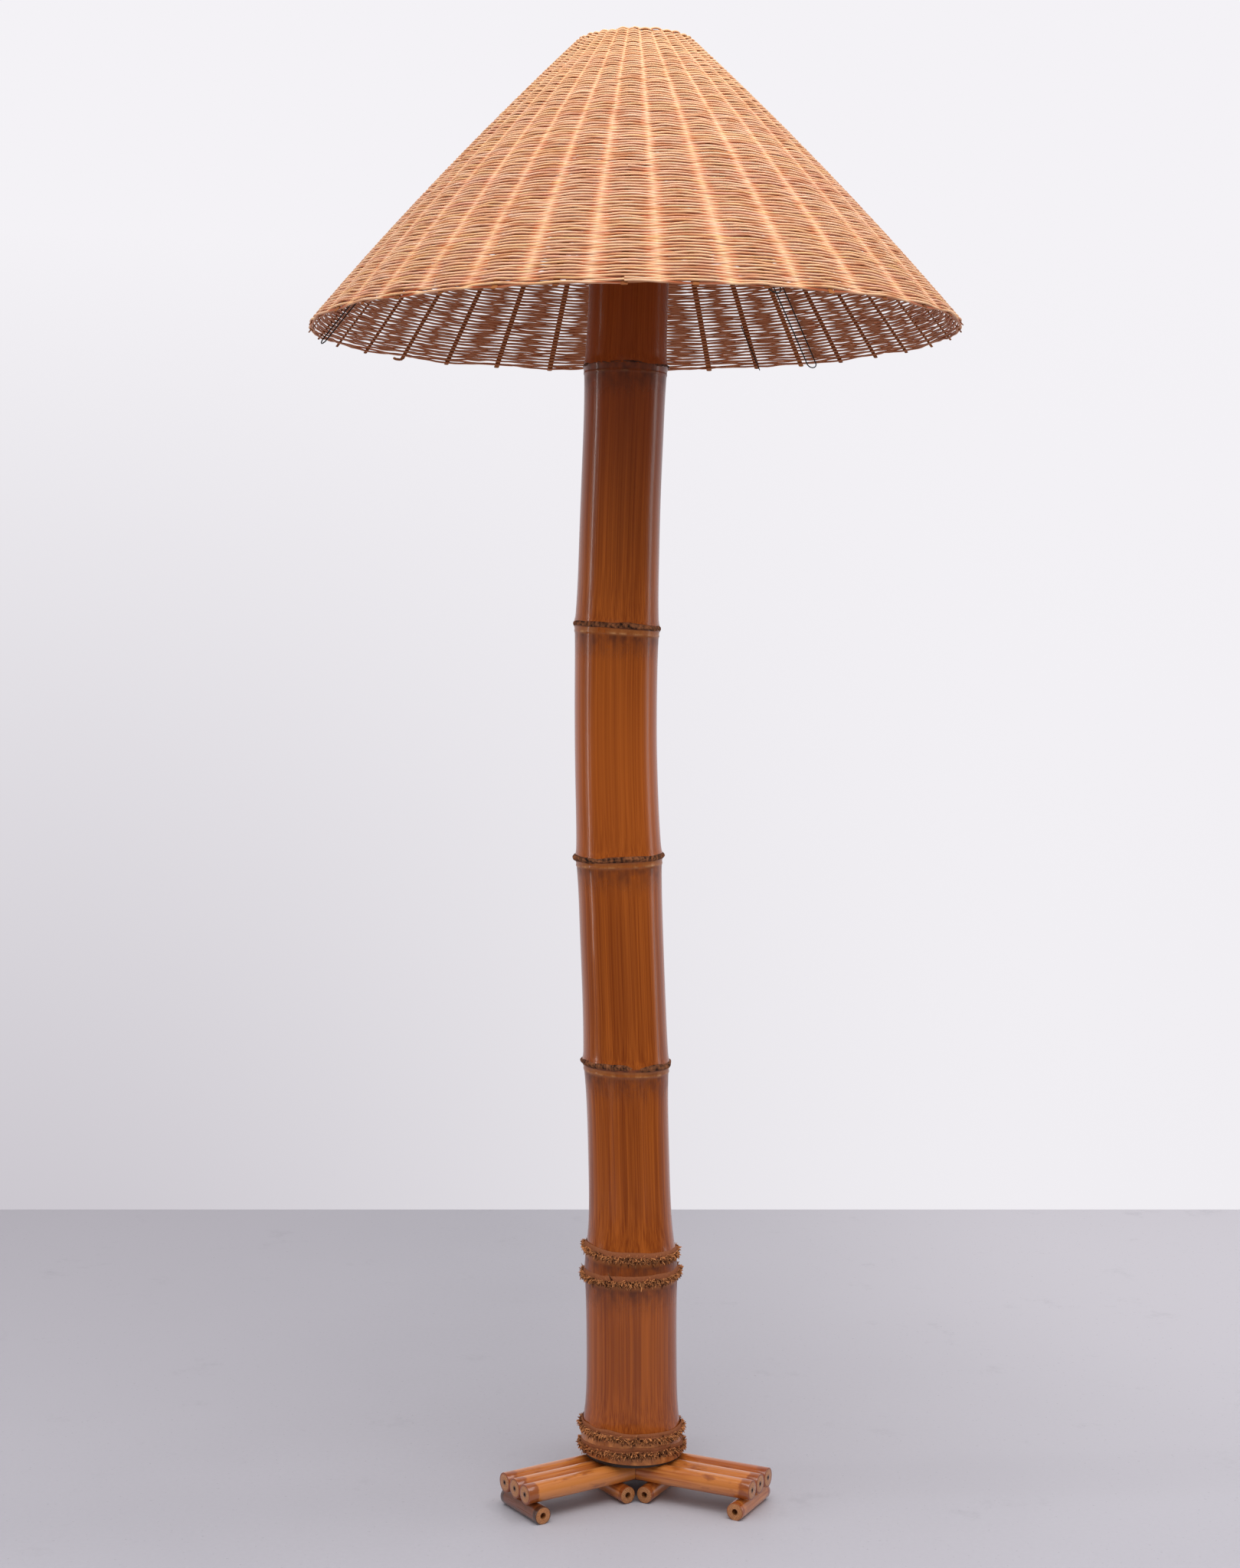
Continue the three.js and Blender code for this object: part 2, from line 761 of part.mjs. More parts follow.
function bulbCap() {
  const crest = bulbCapDiameter / 2;
  const root = crest - bulbThreadDepth;
  const shoulder = bulbBottom + bulbTipHeight;
  const top = bulbBottom + bulbCapHeight;
  const pitch = (top - shoulder) / (bulbThreads + 1);
  const outline = [
    [0, bulbBottom],
    [bulbTipDiameter / 2, bulbBottom],
    [bulbTipDiameter / 2, shoulder],
  ];
  for (let thread = 0; thread <= bulbThreads; thread += 1) {
    outline.push([root, shoulder + pitch * (thread + bulbThreadRootShare)]);
    outline.push([crest, shoulder + pitch * (thread + bulbThreadCrestShare)]);
  }
  outline.push([root, top], [0, top]);
  return solidOf(turned(outline, bulbSides));
}

function bulbGlass() {
  const low = bulbBottom + bulbCapHeight + seatGap;
  const neck = bulbNeckDiameter / 2;
  const full = bulbDiameter / 2;
  const outside = bulbPearShares.map(({ radius, height }) => [
    THREE.MathUtils.lerp(neck, full, radius),
    low + height * bulbGlassHeight,
  ]);
  const inside = outside.map(([radius, height]) => [radius - bulbGlassWall, height]).reverse();
  const outline = [
    [neck - bulbGlassWall, low],
    [neck, low],
    ...outside,
    [0, low + bulbGlassHeight],
    [0, low + bulbGlassHeight - bulbGlassWall],
    ...inside,
  ];
  return solidOf(turnedRing(outline, bulbSides));
}

// Woven shade

// A point of the shade's side: along runs up the slant from the rim, offset outwards from the stakes
function shadeSide(along, offset) {
  const share = along / slantLength;
  const lean = new THREE.Vector2(-slantRun, shadeHeight).divideScalar(slantLength);
  const outward = new THREE.Vector2(lean.y, -lean.x);
  const slope = (Math.sign(1 - 2 * share) * 2 * shadeBulge) / slantLength;
  const normal = outward.clone().addScaledVector(lean, -slope).normalize();
  return new THREE.Vector2(shadeRimRadius, shadeRimHeight)
    .addScaledVector(lean, along)
    .addScaledVector(outward, shadeBulge * (1 - Math.abs(1 - 2 * share)))
    .addScaledVector(normal, offset);
}

function aroundShade(azimuth, side) {
  return new THREE.Vector3(side.x * Math.sin(azimuth), -side.x * Math.cos(azimuth), side.y);
}

function handSetAzimuth(even) {
  const twice = swayTwice * (Math.cos(swayTwiceLag) - Math.cos(2 * even + swayTwiceLag));
  return stakePhase + even + twice + swayOnce * (1 - Math.cos(even));
}

// Levels up the slant from one border to the other, each end set back by a gap
function weaveLevels(runs, gap) {
  const levels = [];
  for (let run = 0; run <= runs; run += 1) {
    levels.push(THREE.MathUtils.lerp(borderHeight + gap, slantLength - borderHeight - gap, run / runs));
  }
  return levels;
}

// The woven skin with its two borders, as one closed section of [along, offset] points
function weaveSection() {
  const half = borderThickness / 2;
  const inner = stakeThickness / 2 + seatGap;
  const levels = weaveLevels(2 * weaveHalfLevels, 0);
  const between = levels.slice(1, -1).map((along) => [along, inner + weaveSkin]);
  return [
    [0, -half],
    [0, half],
    [borderHeight, half],
    ...between,
    [slantLength - borderHeight, half],
    [slantLength, half],
    [slantLength, -half],
    [slantLength - borderHeight, -half],
    ...levels.map((along) => [along, inner]).reverse(),
    [borderHeight, -half],
  ];
}

// The section's corners at both sides of one stake's openings, whose faces clear the stake between them
function sectionCorners(stake) {
  const sides = [-openingWidthShare / 2, openingWidthShare / 2];
  const azimuths = sides.map((side) => handSetAzimuth(((stake + side) / stakeCount) * fullTurn));
  const widening = 1 / Math.cos((azimuths[1] - azimuths[0]) / 2);
  return azimuths.map((azimuth) =>
    weaveSection().map(([along, offset]) => {
      const side = shadeSide(along, offset);
      return aroundShade(azimuth, new THREE.Vector2(side.x * widening, side.y));
    }),
  );
}

// The weave as one closed net of the section, open over every other stake at each level
function weaveNet() {
  const columns = [];
  for (let stake = 0; stake < stakeCount; stake += 1) {
    columns.push(...sectionCorners(stake));
  }
  const rows = columns[0].length;
  const borderRow = weaveSection().findIndex(([along]) => along === borderHeight);
  const faces = [];
  const face = (a, b, c, d) => faces.push(a, b, c, a, c, d);
  for (let column = 0; column < columns.length; column += 1) {
    const corner = (row, side) => ((column + side) % columns.length) * rows + (row % rows);
    const open = new Set();
    for (let level = 0; level < 2 * weaveHalfLevels; level += 1) {
      if (column % 2 === 0 && (column / 2 + level) % 2 === 0) {
        const low = borderRow + level;
        const high = low + 1;
        const innerLow = rows - low;
        const innerHigh = innerLow - 1;
        open.add(low).add(innerHigh);
        face(corner(low, 0), corner(high, 0), corner(innerHigh, 0), corner(innerLow, 0));
        face(corner(high, 0), corner(high, 1), corner(innerHigh, 1), corner(innerHigh, 0));
        face(corner(high, 1), corner(low, 1), corner(innerLow, 1), corner(innerHigh, 1));
        face(corner(low, 1), corner(low, 0), corner(innerLow, 0), corner(innerLow, 1));
      }
    }
    for (let row = 0; row < rows; row += 1) {
      if (!open.has(row)) {
        face(corner(row, 0), corner(row + 1, 0), corner(row + 1, 1), corner(row, 1));
      }
    }
  }
  const geometry = new THREE.BufferGeometry().setFromPoints(columns.flat());
  geometry.setIndex(faces);
  return solidOf(geometry);
}

// A flattened cane that follows one stake over the given levels
function stakeCane(stake, levels) {
  const azimuth = handSetAzimuth((stake / stakeCount) * fullTurn);
  const rings = levels.map((along) => {
    const ring = [];
    for (let side = 0; side < stakeSides; side += 1) {
      const angle = (side / stakeSides) * fullTurn;
      const point = shadeSide(along, (Math.sin(angle) * stakeThickness) / 2);
      ring.push(aroundShade(azimuth + (Math.cos(angle) * stakeWidth) / 2 / point.x, point));
    }
    return ring;
  });
  return solidOf(lofted(rings));
}

function shadeWeave() {
  let weave = weaveNet();
  for (let stake = 0; stake < stakeCount; stake += 1) {
    weave = weave.add(stakeCane(stake, [-stakeStub, borderHeight / 2]));
  }
  return weave;
}

function shadeStakes() {
  const levels = weaveLevels(2, 2 * seatGap);
  const half = stakeThickness / 2;
  const hoopTop = lastOf(levels);
  const hoopLow = hoopTop - hoopWidth;
  const hoop = [
    shadeSide(hoopLow, -half),
    shadeSide(hoopLow, half - seatGap),
    shadeSide(hoopTop, half - seatGap),
    shadeSide(hoopTop, -half),
  ];
  let lattice = solidOf(turnedRing(hoop.map((side) => side.toArray()), topRingSegments));
  for (let stake = 0; stake < stakeCount; stake += 1) {
    lattice = lattice.add(stakeCane(stake, levels));
  }
  return lattice;
}

// Wire frame of the shade

function topRingSide() {
  const along = slantLength - borderHeight - seatGap - topRingWire / 2;
  return shadeSide(along, -stakeThickness / 2 - seatGap - topRingWire / 2);
}

function topRing() {
  const centre = topRingSide();
  const outline = roundShape(topRingWire, wireSides).getPoints();
  const placed = outline.map((corner) => [centre.x + corner.x, centre.y + corner.y]);
  return solidOf(turnedRing(placed, topRingSegments));
}

function hubRing() {
  const outline = [
    [hubBore / 2, hubBottom],
    [hubDiameter / 2, hubBottom],
    [hubDiameter / 2, hubBottom + hubThickness],
    [hubBore / 2, hubBottom + hubThickness],
  ];
  return solidOf(turnedRing(outline, topRingSegments));
}

function frameAzimuth(arm) {
  return framePhase + (arm * fullTurn) / frameArms;
}

// Out from the hub, round an elbow, and up to the underside of the top ring
function spiderArm(arm) {
  const ring = topRingSide();
  const start = new THREE.Vector2(hubDiameter / 2 + seatGap, hubBottom + armWire / 2);
  const bend = new THREE.Vector2((start.x + ring.x) / 2, start.y);
  const end = new THREE.Vector2(ring.x, ring.y - topRingWire / 2 - seatGap);
  const rise = end.clone().sub(bend).normalize();
  const into = bend.clone().addScaledVector(new THREE.Vector2(1, 0), -armElbow);
  const out = bend.clone().addScaledVector(rise, armElbow);
  const elbow = new THREE.QuadraticBezierCurve(into, bend, out).getPoints(armBendSteps);
  const stations = [start, ...elbow, end].map((side) => aroundShade(frameAzimuth(arm), side));
  return solidOf(swept(stations, armWire, wireSides));
}

// A hairpin of wire: two legs up the inside of the shade, and a loop under the rim
function strut(arm) {
  const offset = -borderThickness / 2 - seatGap - strutWire / 2;
  const legTop = slantLength - borderHeight - 2 * seatGap - topRingWire - strutWire / 2;
  const bendRadius = strutSpread / 2;
  const at = (along, across) => {
    const side = shadeSide(along, offset);
    return aroundShade(frameAzimuth(arm) + across / side.x, side);
  };
  const leg = (across) => {
    const stations = [];
    for (let step = 0; step < strutLegSteps; step += 1) {
      stations.push(at(THREE.MathUtils.lerp(legTop, bendRadius - strutLoop, step / strutLegSteps), across));
    }
    return stations;
  };
  const loop = [];
  for (let step = 0; step <= strutBendSteps; step += 1) {
    const angle = (step / strutBendSteps) * Math.PI;
    loop.push(at(bendRadius - strutLoop - bendRadius * Math.sin(angle), -bendRadius * Math.cos(angle)));
  }
  const stations = [...leg(-bendRadius), ...loop, ...leg(bendRadius).reverse()];
  return solidOf(swept(stations, strutWire, strutSides));
}

// Ring nut

function ringNut() {
  const radius = ringNutDiameter / 2;
  const bore = shellDiameter / 2 + seatGap;
  const corners = [];
  for (let grip = 0; grip < 2 * ringNutGrips; grip += 1) {
    const angle = (grip / (2 * ringNutGrips)) * fullTurn;
    const reach = grip % 2 === 0 ? radius : radius - ringNutGripDepth;
    corners.push(new THREE.Vector2(Math.cos(angle), Math.sin(angle)).multiplyScalar(reach));
  }
  const outline = new THREE.Shape(corners);
  outline.holes.push(roundShape(2 * bore, holderSides));
  const geometry = new THREE.ExtrudeGeometry(outline, { depth: ringNutHeight, bevelEnabled: false });
  return solidOf(geometry.translate(0, 0, ringNutBottom));
}

// The whole lamp
const lamp = new THREE.Group();

const base = new THREE.Group();
base.position.x = baseShift;
["rear", "left", "right"].forEach((armName, arm) => base.add(buildArm(arm, armName)));
addPiece(base, "base_disc", baseDisc(), darkWood);
lamp.add(base);

const trunk = new THREE.Group();
addPiece(trunk, "bamboo_trunk", bambooCulm(), lacqueredBamboo);
culmJointShares
  .filter((joint) => joint.fringed)
  .forEach((joint, index) => addPiece(trunk, `root_ring_${index + 1}`, rootRing(joint), rootFibre));
addPiece(trunk, "cord_outlet", cordOutlet(), phenolic);
addPiece(trunk, "trunk_cap", trunkCap(), darkWood);
lamp.add(trunk);

const holder = new THREE.Group();
addPiece(holder, "stem_tube", stemTube(), steel);
addPiece(holder, "stem_nut", stemNut(), steel);
addPiece(holder, "holder_cap", holderCap(), phenolic);
addPiece(holder, "contact_insert", contactInsert(), porcelain);
addPiece(holder, "holder_shell", holderShell(), phenolic);
addPiece(holder, "thread_sleeve", threadSleeve(), brass);
lamp.add(holder);

const bulb = new THREE.Group();
addPiece(bulb, "bulb_cap", bulbCap(), brass);
addPiece(bulb, "bulb_glass", bulbGlass(), opalGlass);
lamp.add(bulb);

const shade = new THREE.Group();
addPiece(shade, "shade_weave", shadeWeave(), peeledCane);
addPiece(shade, "shade_stakes", shadeStakes(), brownCane);
addPiece(shade, "shade_top_ring", topRing(), steel);
addPiece(shade, "shade_hub_ring", hubRing(), steel);
for (let arm = 0; arm < frameArms; arm += 1) {
  addPiece(shade, `spider_arm_${arm + 1}`, spiderArm(arm), steel);
  addPiece(shade, `shade_strut_${arm + 1}`, strut(arm), blackWire);
}
addPiece(shade, "shade_ring_nut", ringNut(), phenolic);
lamp.add(shade);

export default lamp;
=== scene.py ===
"""A rattan floor lamp: a woven cone shade over a giant bamboo trunk, on a three-armed cane base.

Metres, +Z up, the front towards -Y. The origin is on the floor, on the shade's axis.
"""
import math

import bmesh
import bpy
import numpy as np
from mathutils import Matrix, Vector


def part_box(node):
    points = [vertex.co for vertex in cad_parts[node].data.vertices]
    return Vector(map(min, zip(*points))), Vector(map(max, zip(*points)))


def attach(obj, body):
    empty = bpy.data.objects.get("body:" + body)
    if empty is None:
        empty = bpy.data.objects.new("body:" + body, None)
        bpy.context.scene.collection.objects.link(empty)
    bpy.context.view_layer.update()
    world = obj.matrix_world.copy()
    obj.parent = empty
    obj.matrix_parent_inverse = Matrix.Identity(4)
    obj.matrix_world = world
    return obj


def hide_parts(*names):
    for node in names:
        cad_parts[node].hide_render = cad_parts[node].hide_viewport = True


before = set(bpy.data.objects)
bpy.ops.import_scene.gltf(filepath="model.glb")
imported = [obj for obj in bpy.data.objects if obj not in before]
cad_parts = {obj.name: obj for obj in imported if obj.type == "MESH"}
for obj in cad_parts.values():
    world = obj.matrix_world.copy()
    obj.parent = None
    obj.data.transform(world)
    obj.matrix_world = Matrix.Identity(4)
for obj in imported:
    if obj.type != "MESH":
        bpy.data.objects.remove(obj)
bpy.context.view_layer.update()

FULL_TURN = 2 * math.pi
WELD = 1e-6

# Cane base
ARM_NAMES = ("rear", "left", "right")
BASE_TURN = math.radians(3)
BASE_SHIFT = -0.0024
CANE_DIAMETER = 0.0233
CANE_PITCH = 0.0236
ARM_REACH = 0.169
MITRE_SETBACK = 0.00017
OUTER_FOOT_DIAMETER = 0.021
OUTER_FOOT_REACH = 0.154
INNER_FOOT_DIAMETER = 0.02
INNER_FOOT_REACH = 0.035
FOOT_LENGTH = 0.082
FOOT_BORE_DIAMETER = 0.0072
FOOT_BORE_DEPTH = 0.0137
PITH_HOLE_DIAMETER = 0.0032
PITH_HOLE_DEPTH = 0.007
CANE_SIDES = 40
CANE_RINGS = 16
CUT_EDGE = 0.0005

# Bamboo trunk: joints from the floor up, as shares of its length and of its diameter
TRUNK_LENGTH = 1.536
TRUNK_DIAMETER = 0.103
TRUNK_SWAY = -0.025
SWAY_SHARES = (0.19, 0.22, 0.42, 0.72, 0.97, 0.81, 0.49, 0.2)
ROOT_JOINTS = (
    dict(height=0.0065, shoulder=1.204, reach=1.3, tilt=-0.012, waist=None, front_rise=0.0055),
    dict(height=0.021, shoulder=1.175, reach=1.28, tilt=-0.045, waist=1.066),
    dict(height=0.1427, shoulder=1.11, reach=1.229, tilt=0.028, waist=None),
    dict(height=0.161, shoulder=1.062, reach=1.184, tilt=-0.06, waist=0.962),
)
RIDGE_JOINTS = (
    dict(height=0.3081, shoulder=1.022, reach=1.087, tilt=-0.035, waist=0.985),
    dict(height=0.4721, shoulder=1.03, reach=1.093, tilt=0.025, waist=0.976),
    dict(height=0.6557, shoulder=1.008, reach=1.058, tilt=-0.07, waist=0.95),
    dict(height=0.8621, shoulder=0.99, reach=1.047, tilt=-0.025, waist=0.948, thickness=0.55),
)
JOINTS = ROOT_JOINTS + RIDGE_JOINTS
WAIST_RISE = 0.12
WAIST_FALL = 0.13
TILT_REACH = 0.055
RIDGE_HEIGHT = 0.0075
RIDGE_SECTION = 15
RIDGE_SWELL = 0.0012
RIDGE_SWELL_REACH = 0.006
SCAR_DROP = 0.0095
SCAR_HEIGHT = 0.0016
SCAR_RISE = 0.0007
CROWN_SHADOW_SHARES = (0.62, 0.92)
PALE_SHARE = 0.54
PALE_REACH_SHARE = 0.09
TRUNK_SIDES = 112
TRUNK_RINGS = 150
JOINT_RINGS = 40
RIDGE_SIDES = 420

# Root rings
LEDGE_HALF_HEIGHT = 0.005
LEDGE_LIP = 0.0026
LEDGE_SIDES = 160
NUBS_PER_RING = 1900
NUB_LENGTH = 0.0052
NUB_DIAMETER = 0.0015
NUB_LENGTH_SHARES = np.array([0, 0.5, 0.85, 1])
NUB_GIRTH_SHARES = np.array([1, 1.05, 0.9, 0.5])
NUB_HIGHLIGHT_SHARES = np.array([0, 0.3, 0.8, 1])
RING_WAVE = 0.0009
RING_WAVE_LENGTH = 0.022

# Woven shade, measured on the centre lines of its stakes
RIM_RADIUS = 0.3955
TOP_RADIUS = 0.069
RIM_HEIGHT = 1.416
SHADE_HEIGHT = 0.354
SHADE_BULGE = 0.0065
STAKES = 35
STAKE_WIDTH = 0.0074
STAKE_THICKNESS = 0.0013
STAKE_STUB = 0.0045
STAKE_POINT = 0.0006
STAKE_POINT_TAPER = 0.72
STAKE_TRIM = 0.0016
STAKE_TOP_GAP = 0.002
STAKE_RINGS = 26
STAKE_PHASE = math.radians(-2.1)
SWAY_TWICE = math.radians(3.44)
SWAY_TWICE_LAG = math.radians(25.8)
SWAY_ONCE = math.radians(1.3)
SLANT_RUN = RIM_RADIUS - TOP_RADIUS
SLANT = math.hypot(SLANT_RUN, SHADE_HEIGHT)
LEAN = (-SLANT_RUN / SLANT, SHADE_HEIGHT / SLANT)
OUTWARD = (LEAN[1], -LEAN[0])

# Weaving
WEAVER_DIAMETER = 0.00265
WEAVER_OFFSET = 0.0019
WEAVER_SIDES = 6
WEAVER_STEPS = 8
WEAVER_ROWS = 195
WEAVE_BANDS = 5
WEAVER_RUN = 3.1
SHADE_WANDER = 0.001
PATCH_WANDER = 0.0003
ROW_WANDER = 0.00075
BORDER_ROWS = 2
BORDER_PITCH = 0.0018
BORDER_GIRTH = 1.05
BORDER_EDGE = 0.0012

# Wire hairpins inside the shade, and small things at its rim
FRAME_PHASE = math.radians(142)
FRAME_ARMS = 3
STRUT_WIRE = 0.0016
STRUT_SPREAD = 0.014
STRUT_LOOP = 0.005
STRUT_OFFSET = -0.0043
BINDING_DIAMETER = 0.0034
BINDING_AZIMUTHS = np.radians([231.1, 233.3])
BINDING_LEVELS = np.array([-0.0035, -0.0044, -0.0045, -0.0044, -0.0035])
LOOSE_WIRE = 0.0013
LOOSE_WIRE_AZIMUTHS = np.radians([153.9, 155.2])
LOOSE_WIRE_LEVELS = (-0.003, 0.07)

# Wire frame, ring nut, and the bulb's outline from its neck to its top
SPIDER_WIRE = 0.0039
SPIDER_ELBOW = 0.012
HUB_BORE = 0.0202
NUT_KNURLS = 22
NUT_KNURL_SHARE = 0.016
FITTING_GAP = 0.0003
PEAR_SWELL_SHARES = (0, 0, 0.08, 0.3, 0.58, 0.8, 0.95, 1, 0.97, 0.86, 0.66, 0.3, -0.1, -0.72)
PEAR_HEIGHT_SHARES = (0, 0.14, 0.2, 0.3, 0.39, 0.48, 0.57, 0.66, 0.75, 0.83, 0.9, 0.965, 0.99, 1)

# Camera, from the photograph, and floor
CAMERA_PLACE = (-0.019, -2.85, 1.035)
CAMERA_LENS = 53.4
IMAGE_HEIGHT = 2048
HORIZON_ROW = 840
FLOOR_HALF = 1.4

# Finishes


class Field:
    """A number, colour or vector that varies over a surface: one socket of a node tree."""

    def __init__(self, nodes, socket):
        self.nodes = nodes
        self.socket = socket

    def math(self, operation, *values, clamp=False):
        inputs = dict(enumerate(values))
        return self.nodes.node("ShaderNodeMath", inputs, operation=operation, use_clamp=clamp)

    def __add__(self, other):
        return self.math("ADD", self, other)

    __radd__ = __add__

    def __sub__(self, other):
        return self.math("SUBTRACT", self, other)

    def __rsub__(self, other):
        return self.math("SUBTRACT", other, self)

    def __mul__(self, other):
        return self.math("MULTIPLY", self, other)

    __rmul__ = __mul__

    def clamped(self):
        return self.math("ADD", self, 0.0, clamp=True)

    def step(self, low, high):
        """0 below low and 1 above high, smooth between them."""
        inputs = {"Value": self, "From Min": low, "From Max": high}
        return self.nodes.node("ShaderNodeMapRange", inputs, interpolation_type="SMOOTHSTEP")

    def axis(self, name):
        return self.nodes.node("ShaderNodeSeparateXYZ", {0: self}, output=name)

    def stretched(self, along, across):
        """A place vector scaled along its first axis and across the others."""
        inputs = {0: self, 1: (along, across, across)}
        return self.nodes.node("ShaderNodeVectorMath", inputs, operation="MULTIPLY")

    def length(self):
        return self.nodes.node("ShaderNodeVectorMath", {0: self}, "Value", operation="LENGTH")

    def noise(self, scale=1.0, detail=2.0, roughness=0.5):
        inputs = {"Vector": self, "Scale": scale, "Detail": detail, "Roughness": roughness}
        return self.nodes.node("ShaderNodeTexNoise", inputs)

    def mixed(self, low, high):
        """A colour: low where this number is 0 or less, high where it is 1 or more."""
        inputs = {0: self, 6: rgba(low), 7: rgba(high)}
        return self.nodes.node("ShaderNodeMix", inputs, output=2, data_type="RGBA")

    def bump(self, distance, strength):
        inputs = {"Height": self, "Distance": distance, "Strength": strength}
        return self.nodes.node("ShaderNodeBump", inputs)


class Nodes:
    """The node tree of a finish or of the room."""

    def __init__(self, tree):
        self.tree = tree

    def node(self, kind, inputs=None, output=0, **settings):
        """Any node: settings are set first, then inputs by name or number; output is read."""
        made = self.tree.nodes.new(kind)
        for name, value in settings.items():
            setattr(made, name, value)
        for name, value in (inputs or {}).items():
            if isinstance(value, Field):
                self.tree.links.new(value.socket, made.inputs[name])
            else:
                made.inputs[name].default_value = value
        return Field(self, made.outputs[output])


def rgba(colour):
    """A colour written as eight-bit screen values, as linear light."""
    if isinstance(colour, Field):
        return colour
    linear = [((c / 255 + 0.055) / 1.055) ** 2.4 if c > 10 else c / 255 / 12.92 for c in colour]
    return (*linear, 1.0)


class Surface(Nodes):
    """A procedural material: Fields go in where the surface varies, numbers where it doesn't."""

    def __init__(self, name):
        self.material = bpy.data.materials.new(name)
        self.material.use_nodes = True
        super().__init__(self.material.node_tree)
        self.shader = self.tree.nodes["Principled BSDF"]

    def place(self):
        """The place in the lamp, in metres."""
        return self.node("ShaderNodeTexCoord", output="Object")

    def mark(self, name, output="Fac"):
        """What the piece's own points say, such as how near a joint they are."""
        return self.node("ShaderNodeAttribute", output=output, attribute_name=name)

    def grain(self):
        """The place on the piece, in metres, with its first axis along the fibres."""
        return self.mark("grain", "Vector")

    def set(self, **inputs):
        for name, value in inputs.items():
            socket = self.shader.inputs[name.replace("_", " ").title().replace("Ior", "IOR")]
            if isinstance(value, Field):
                self.tree.links.new(value.socket, socket)
            elif isinstance(value, tuple):
                socket.default_value = rgba(value)
            else:
                socket.default_value = value
        return self.material


def lacquered_cane(name, stain, body, light):
    """Cane under clear lacquer: fine streaks, red-brown stains, and pith in its cut ends."""
    surface = Surface(name)
    grain = surface.grain()
    tone = surface.mark("tone")
    streaks = grain.stretched(14, 420).noise(detail=3.0)
    broad = grain.stretched(9, 60).noise()
    spots = grain.stretched(38, 90).noise(detail=3.0)
    lit = streaks * 0.8 + broad * 0.8 + tone * 0.3 - 0.45
    bark = lit.step(0.15, 0.7).mixed(body, light)
    near_end = surface.mark("end").step(0.8, 0.88)
    stained = (spots * 1.1 + near_end * (0.16 + tone * 0.3) + streaks * 0.25).step(0.74, 0.98)
    bark = (stained * 0.75).mixed(bark, stain)
    spread = grain.stretched(0, 1).length()
    fibres = grain.stretched(40, 1700).noise(detail=1.0)
    pith = fibres.step(0.35, 0.7).mixed((158, 92, 42), (212, 146, 84))
    pith = spread.step(0.0085, 0.0108).mixed(pith, stain)
    # Painted shade: near-black in and around the hole of each cut end
    pith = (1.0 - spread.step(0.0015, 0.0045)).mixed(pith, (62, 32, 14))
    cut = surface.mark("cut")
    height = streaks * 0.3 + broad * 0.4 + cut * fibres
    return surface.set(
        base_color=cut.mixed(bark, pith),
        roughness=0.22 + cut * 0.4 + streaks * 0.16,
        coat_weight=0.7,
        coat_roughness=0.08,
        normal=height.bump(0.0004, 0.4),
    )


def bamboo():
    """Orange-brown lacquered bamboo: fine streaks up it, and mottled stain under each joint."""
    surface = Surface("lacquered_bamboo")
    grain = surface.grain()
    gap = surface.mark("under_joint")
    hair = grain.stretched(1.6, 900).noise()
    streak = grain.stretched(2.2, 260).noise(detail=3.0)
    broad = grain.stretched(1.2, 42).noise()
    mottle = grain.stretched(70, 110).noise(detail=4.0)
    lit = hair * 0.7 + streak * 0.5 + broad * 0.4 - 0.3
    colour = lit.step(0.2, 0.8).mixed((126, 54, 8), (182, 94, 26))
    colour = (surface.mark("paler") * 0.4).mixed(colour, (196, 100, 30))
    # Painted shadow of the shade: the trunk's top is darker red-brown with broad paler bands,
    # partly its own colour, partly painted shadow
    crown_shadow = surface.mark("crown_shadow").step(0.1, 0.95)
    dark = lit.mixed((104, 40, 10), (146, 68, 26))
    colour = (crown_shadow * (0.35 + broad * 1.1)).mixed(colour, dark)
    stain = (1.0 - gap.step(0.0, 0.05)) * (mottle * 2.2 - 0.45)
    colour = stain.mixed(colour, (88, 40, 16))
    band = gap.step(0.003, 0.005) * (1.0 - gap.step(0.0085, 0.014)) * (1.0 - crown_shadow)
    colour = (band * (mottle * 1.7 - 0.35)).mixed(colour, (188, 110, 44))
    scar = surface.mark("scar") * (1.0 - crown_shadow * 0.8)
    colour = (scar * (mottle * 3.2 - 1.45)).mixed(colour, (206, 150, 96))
    root_wood = mottle.step(0.3, 0.75).mixed((160, 92, 44), (214, 138, 76))
    colour = surface.mark("foot").mixed(colour, root_wood)
    return surface.set(
        base_color=colour,
        roughness=0.17 + stain.clamped() * 0.25 + streak * 0.12,
        specular_ior_level=0.3,
        coat_weight=0.2,
        coat_roughness=0.04,
        normal=(hair * 0.6 + streak * 0.3 + broad * 0.6 + stain * mottle).bump(0.0006, 0.4),
    )


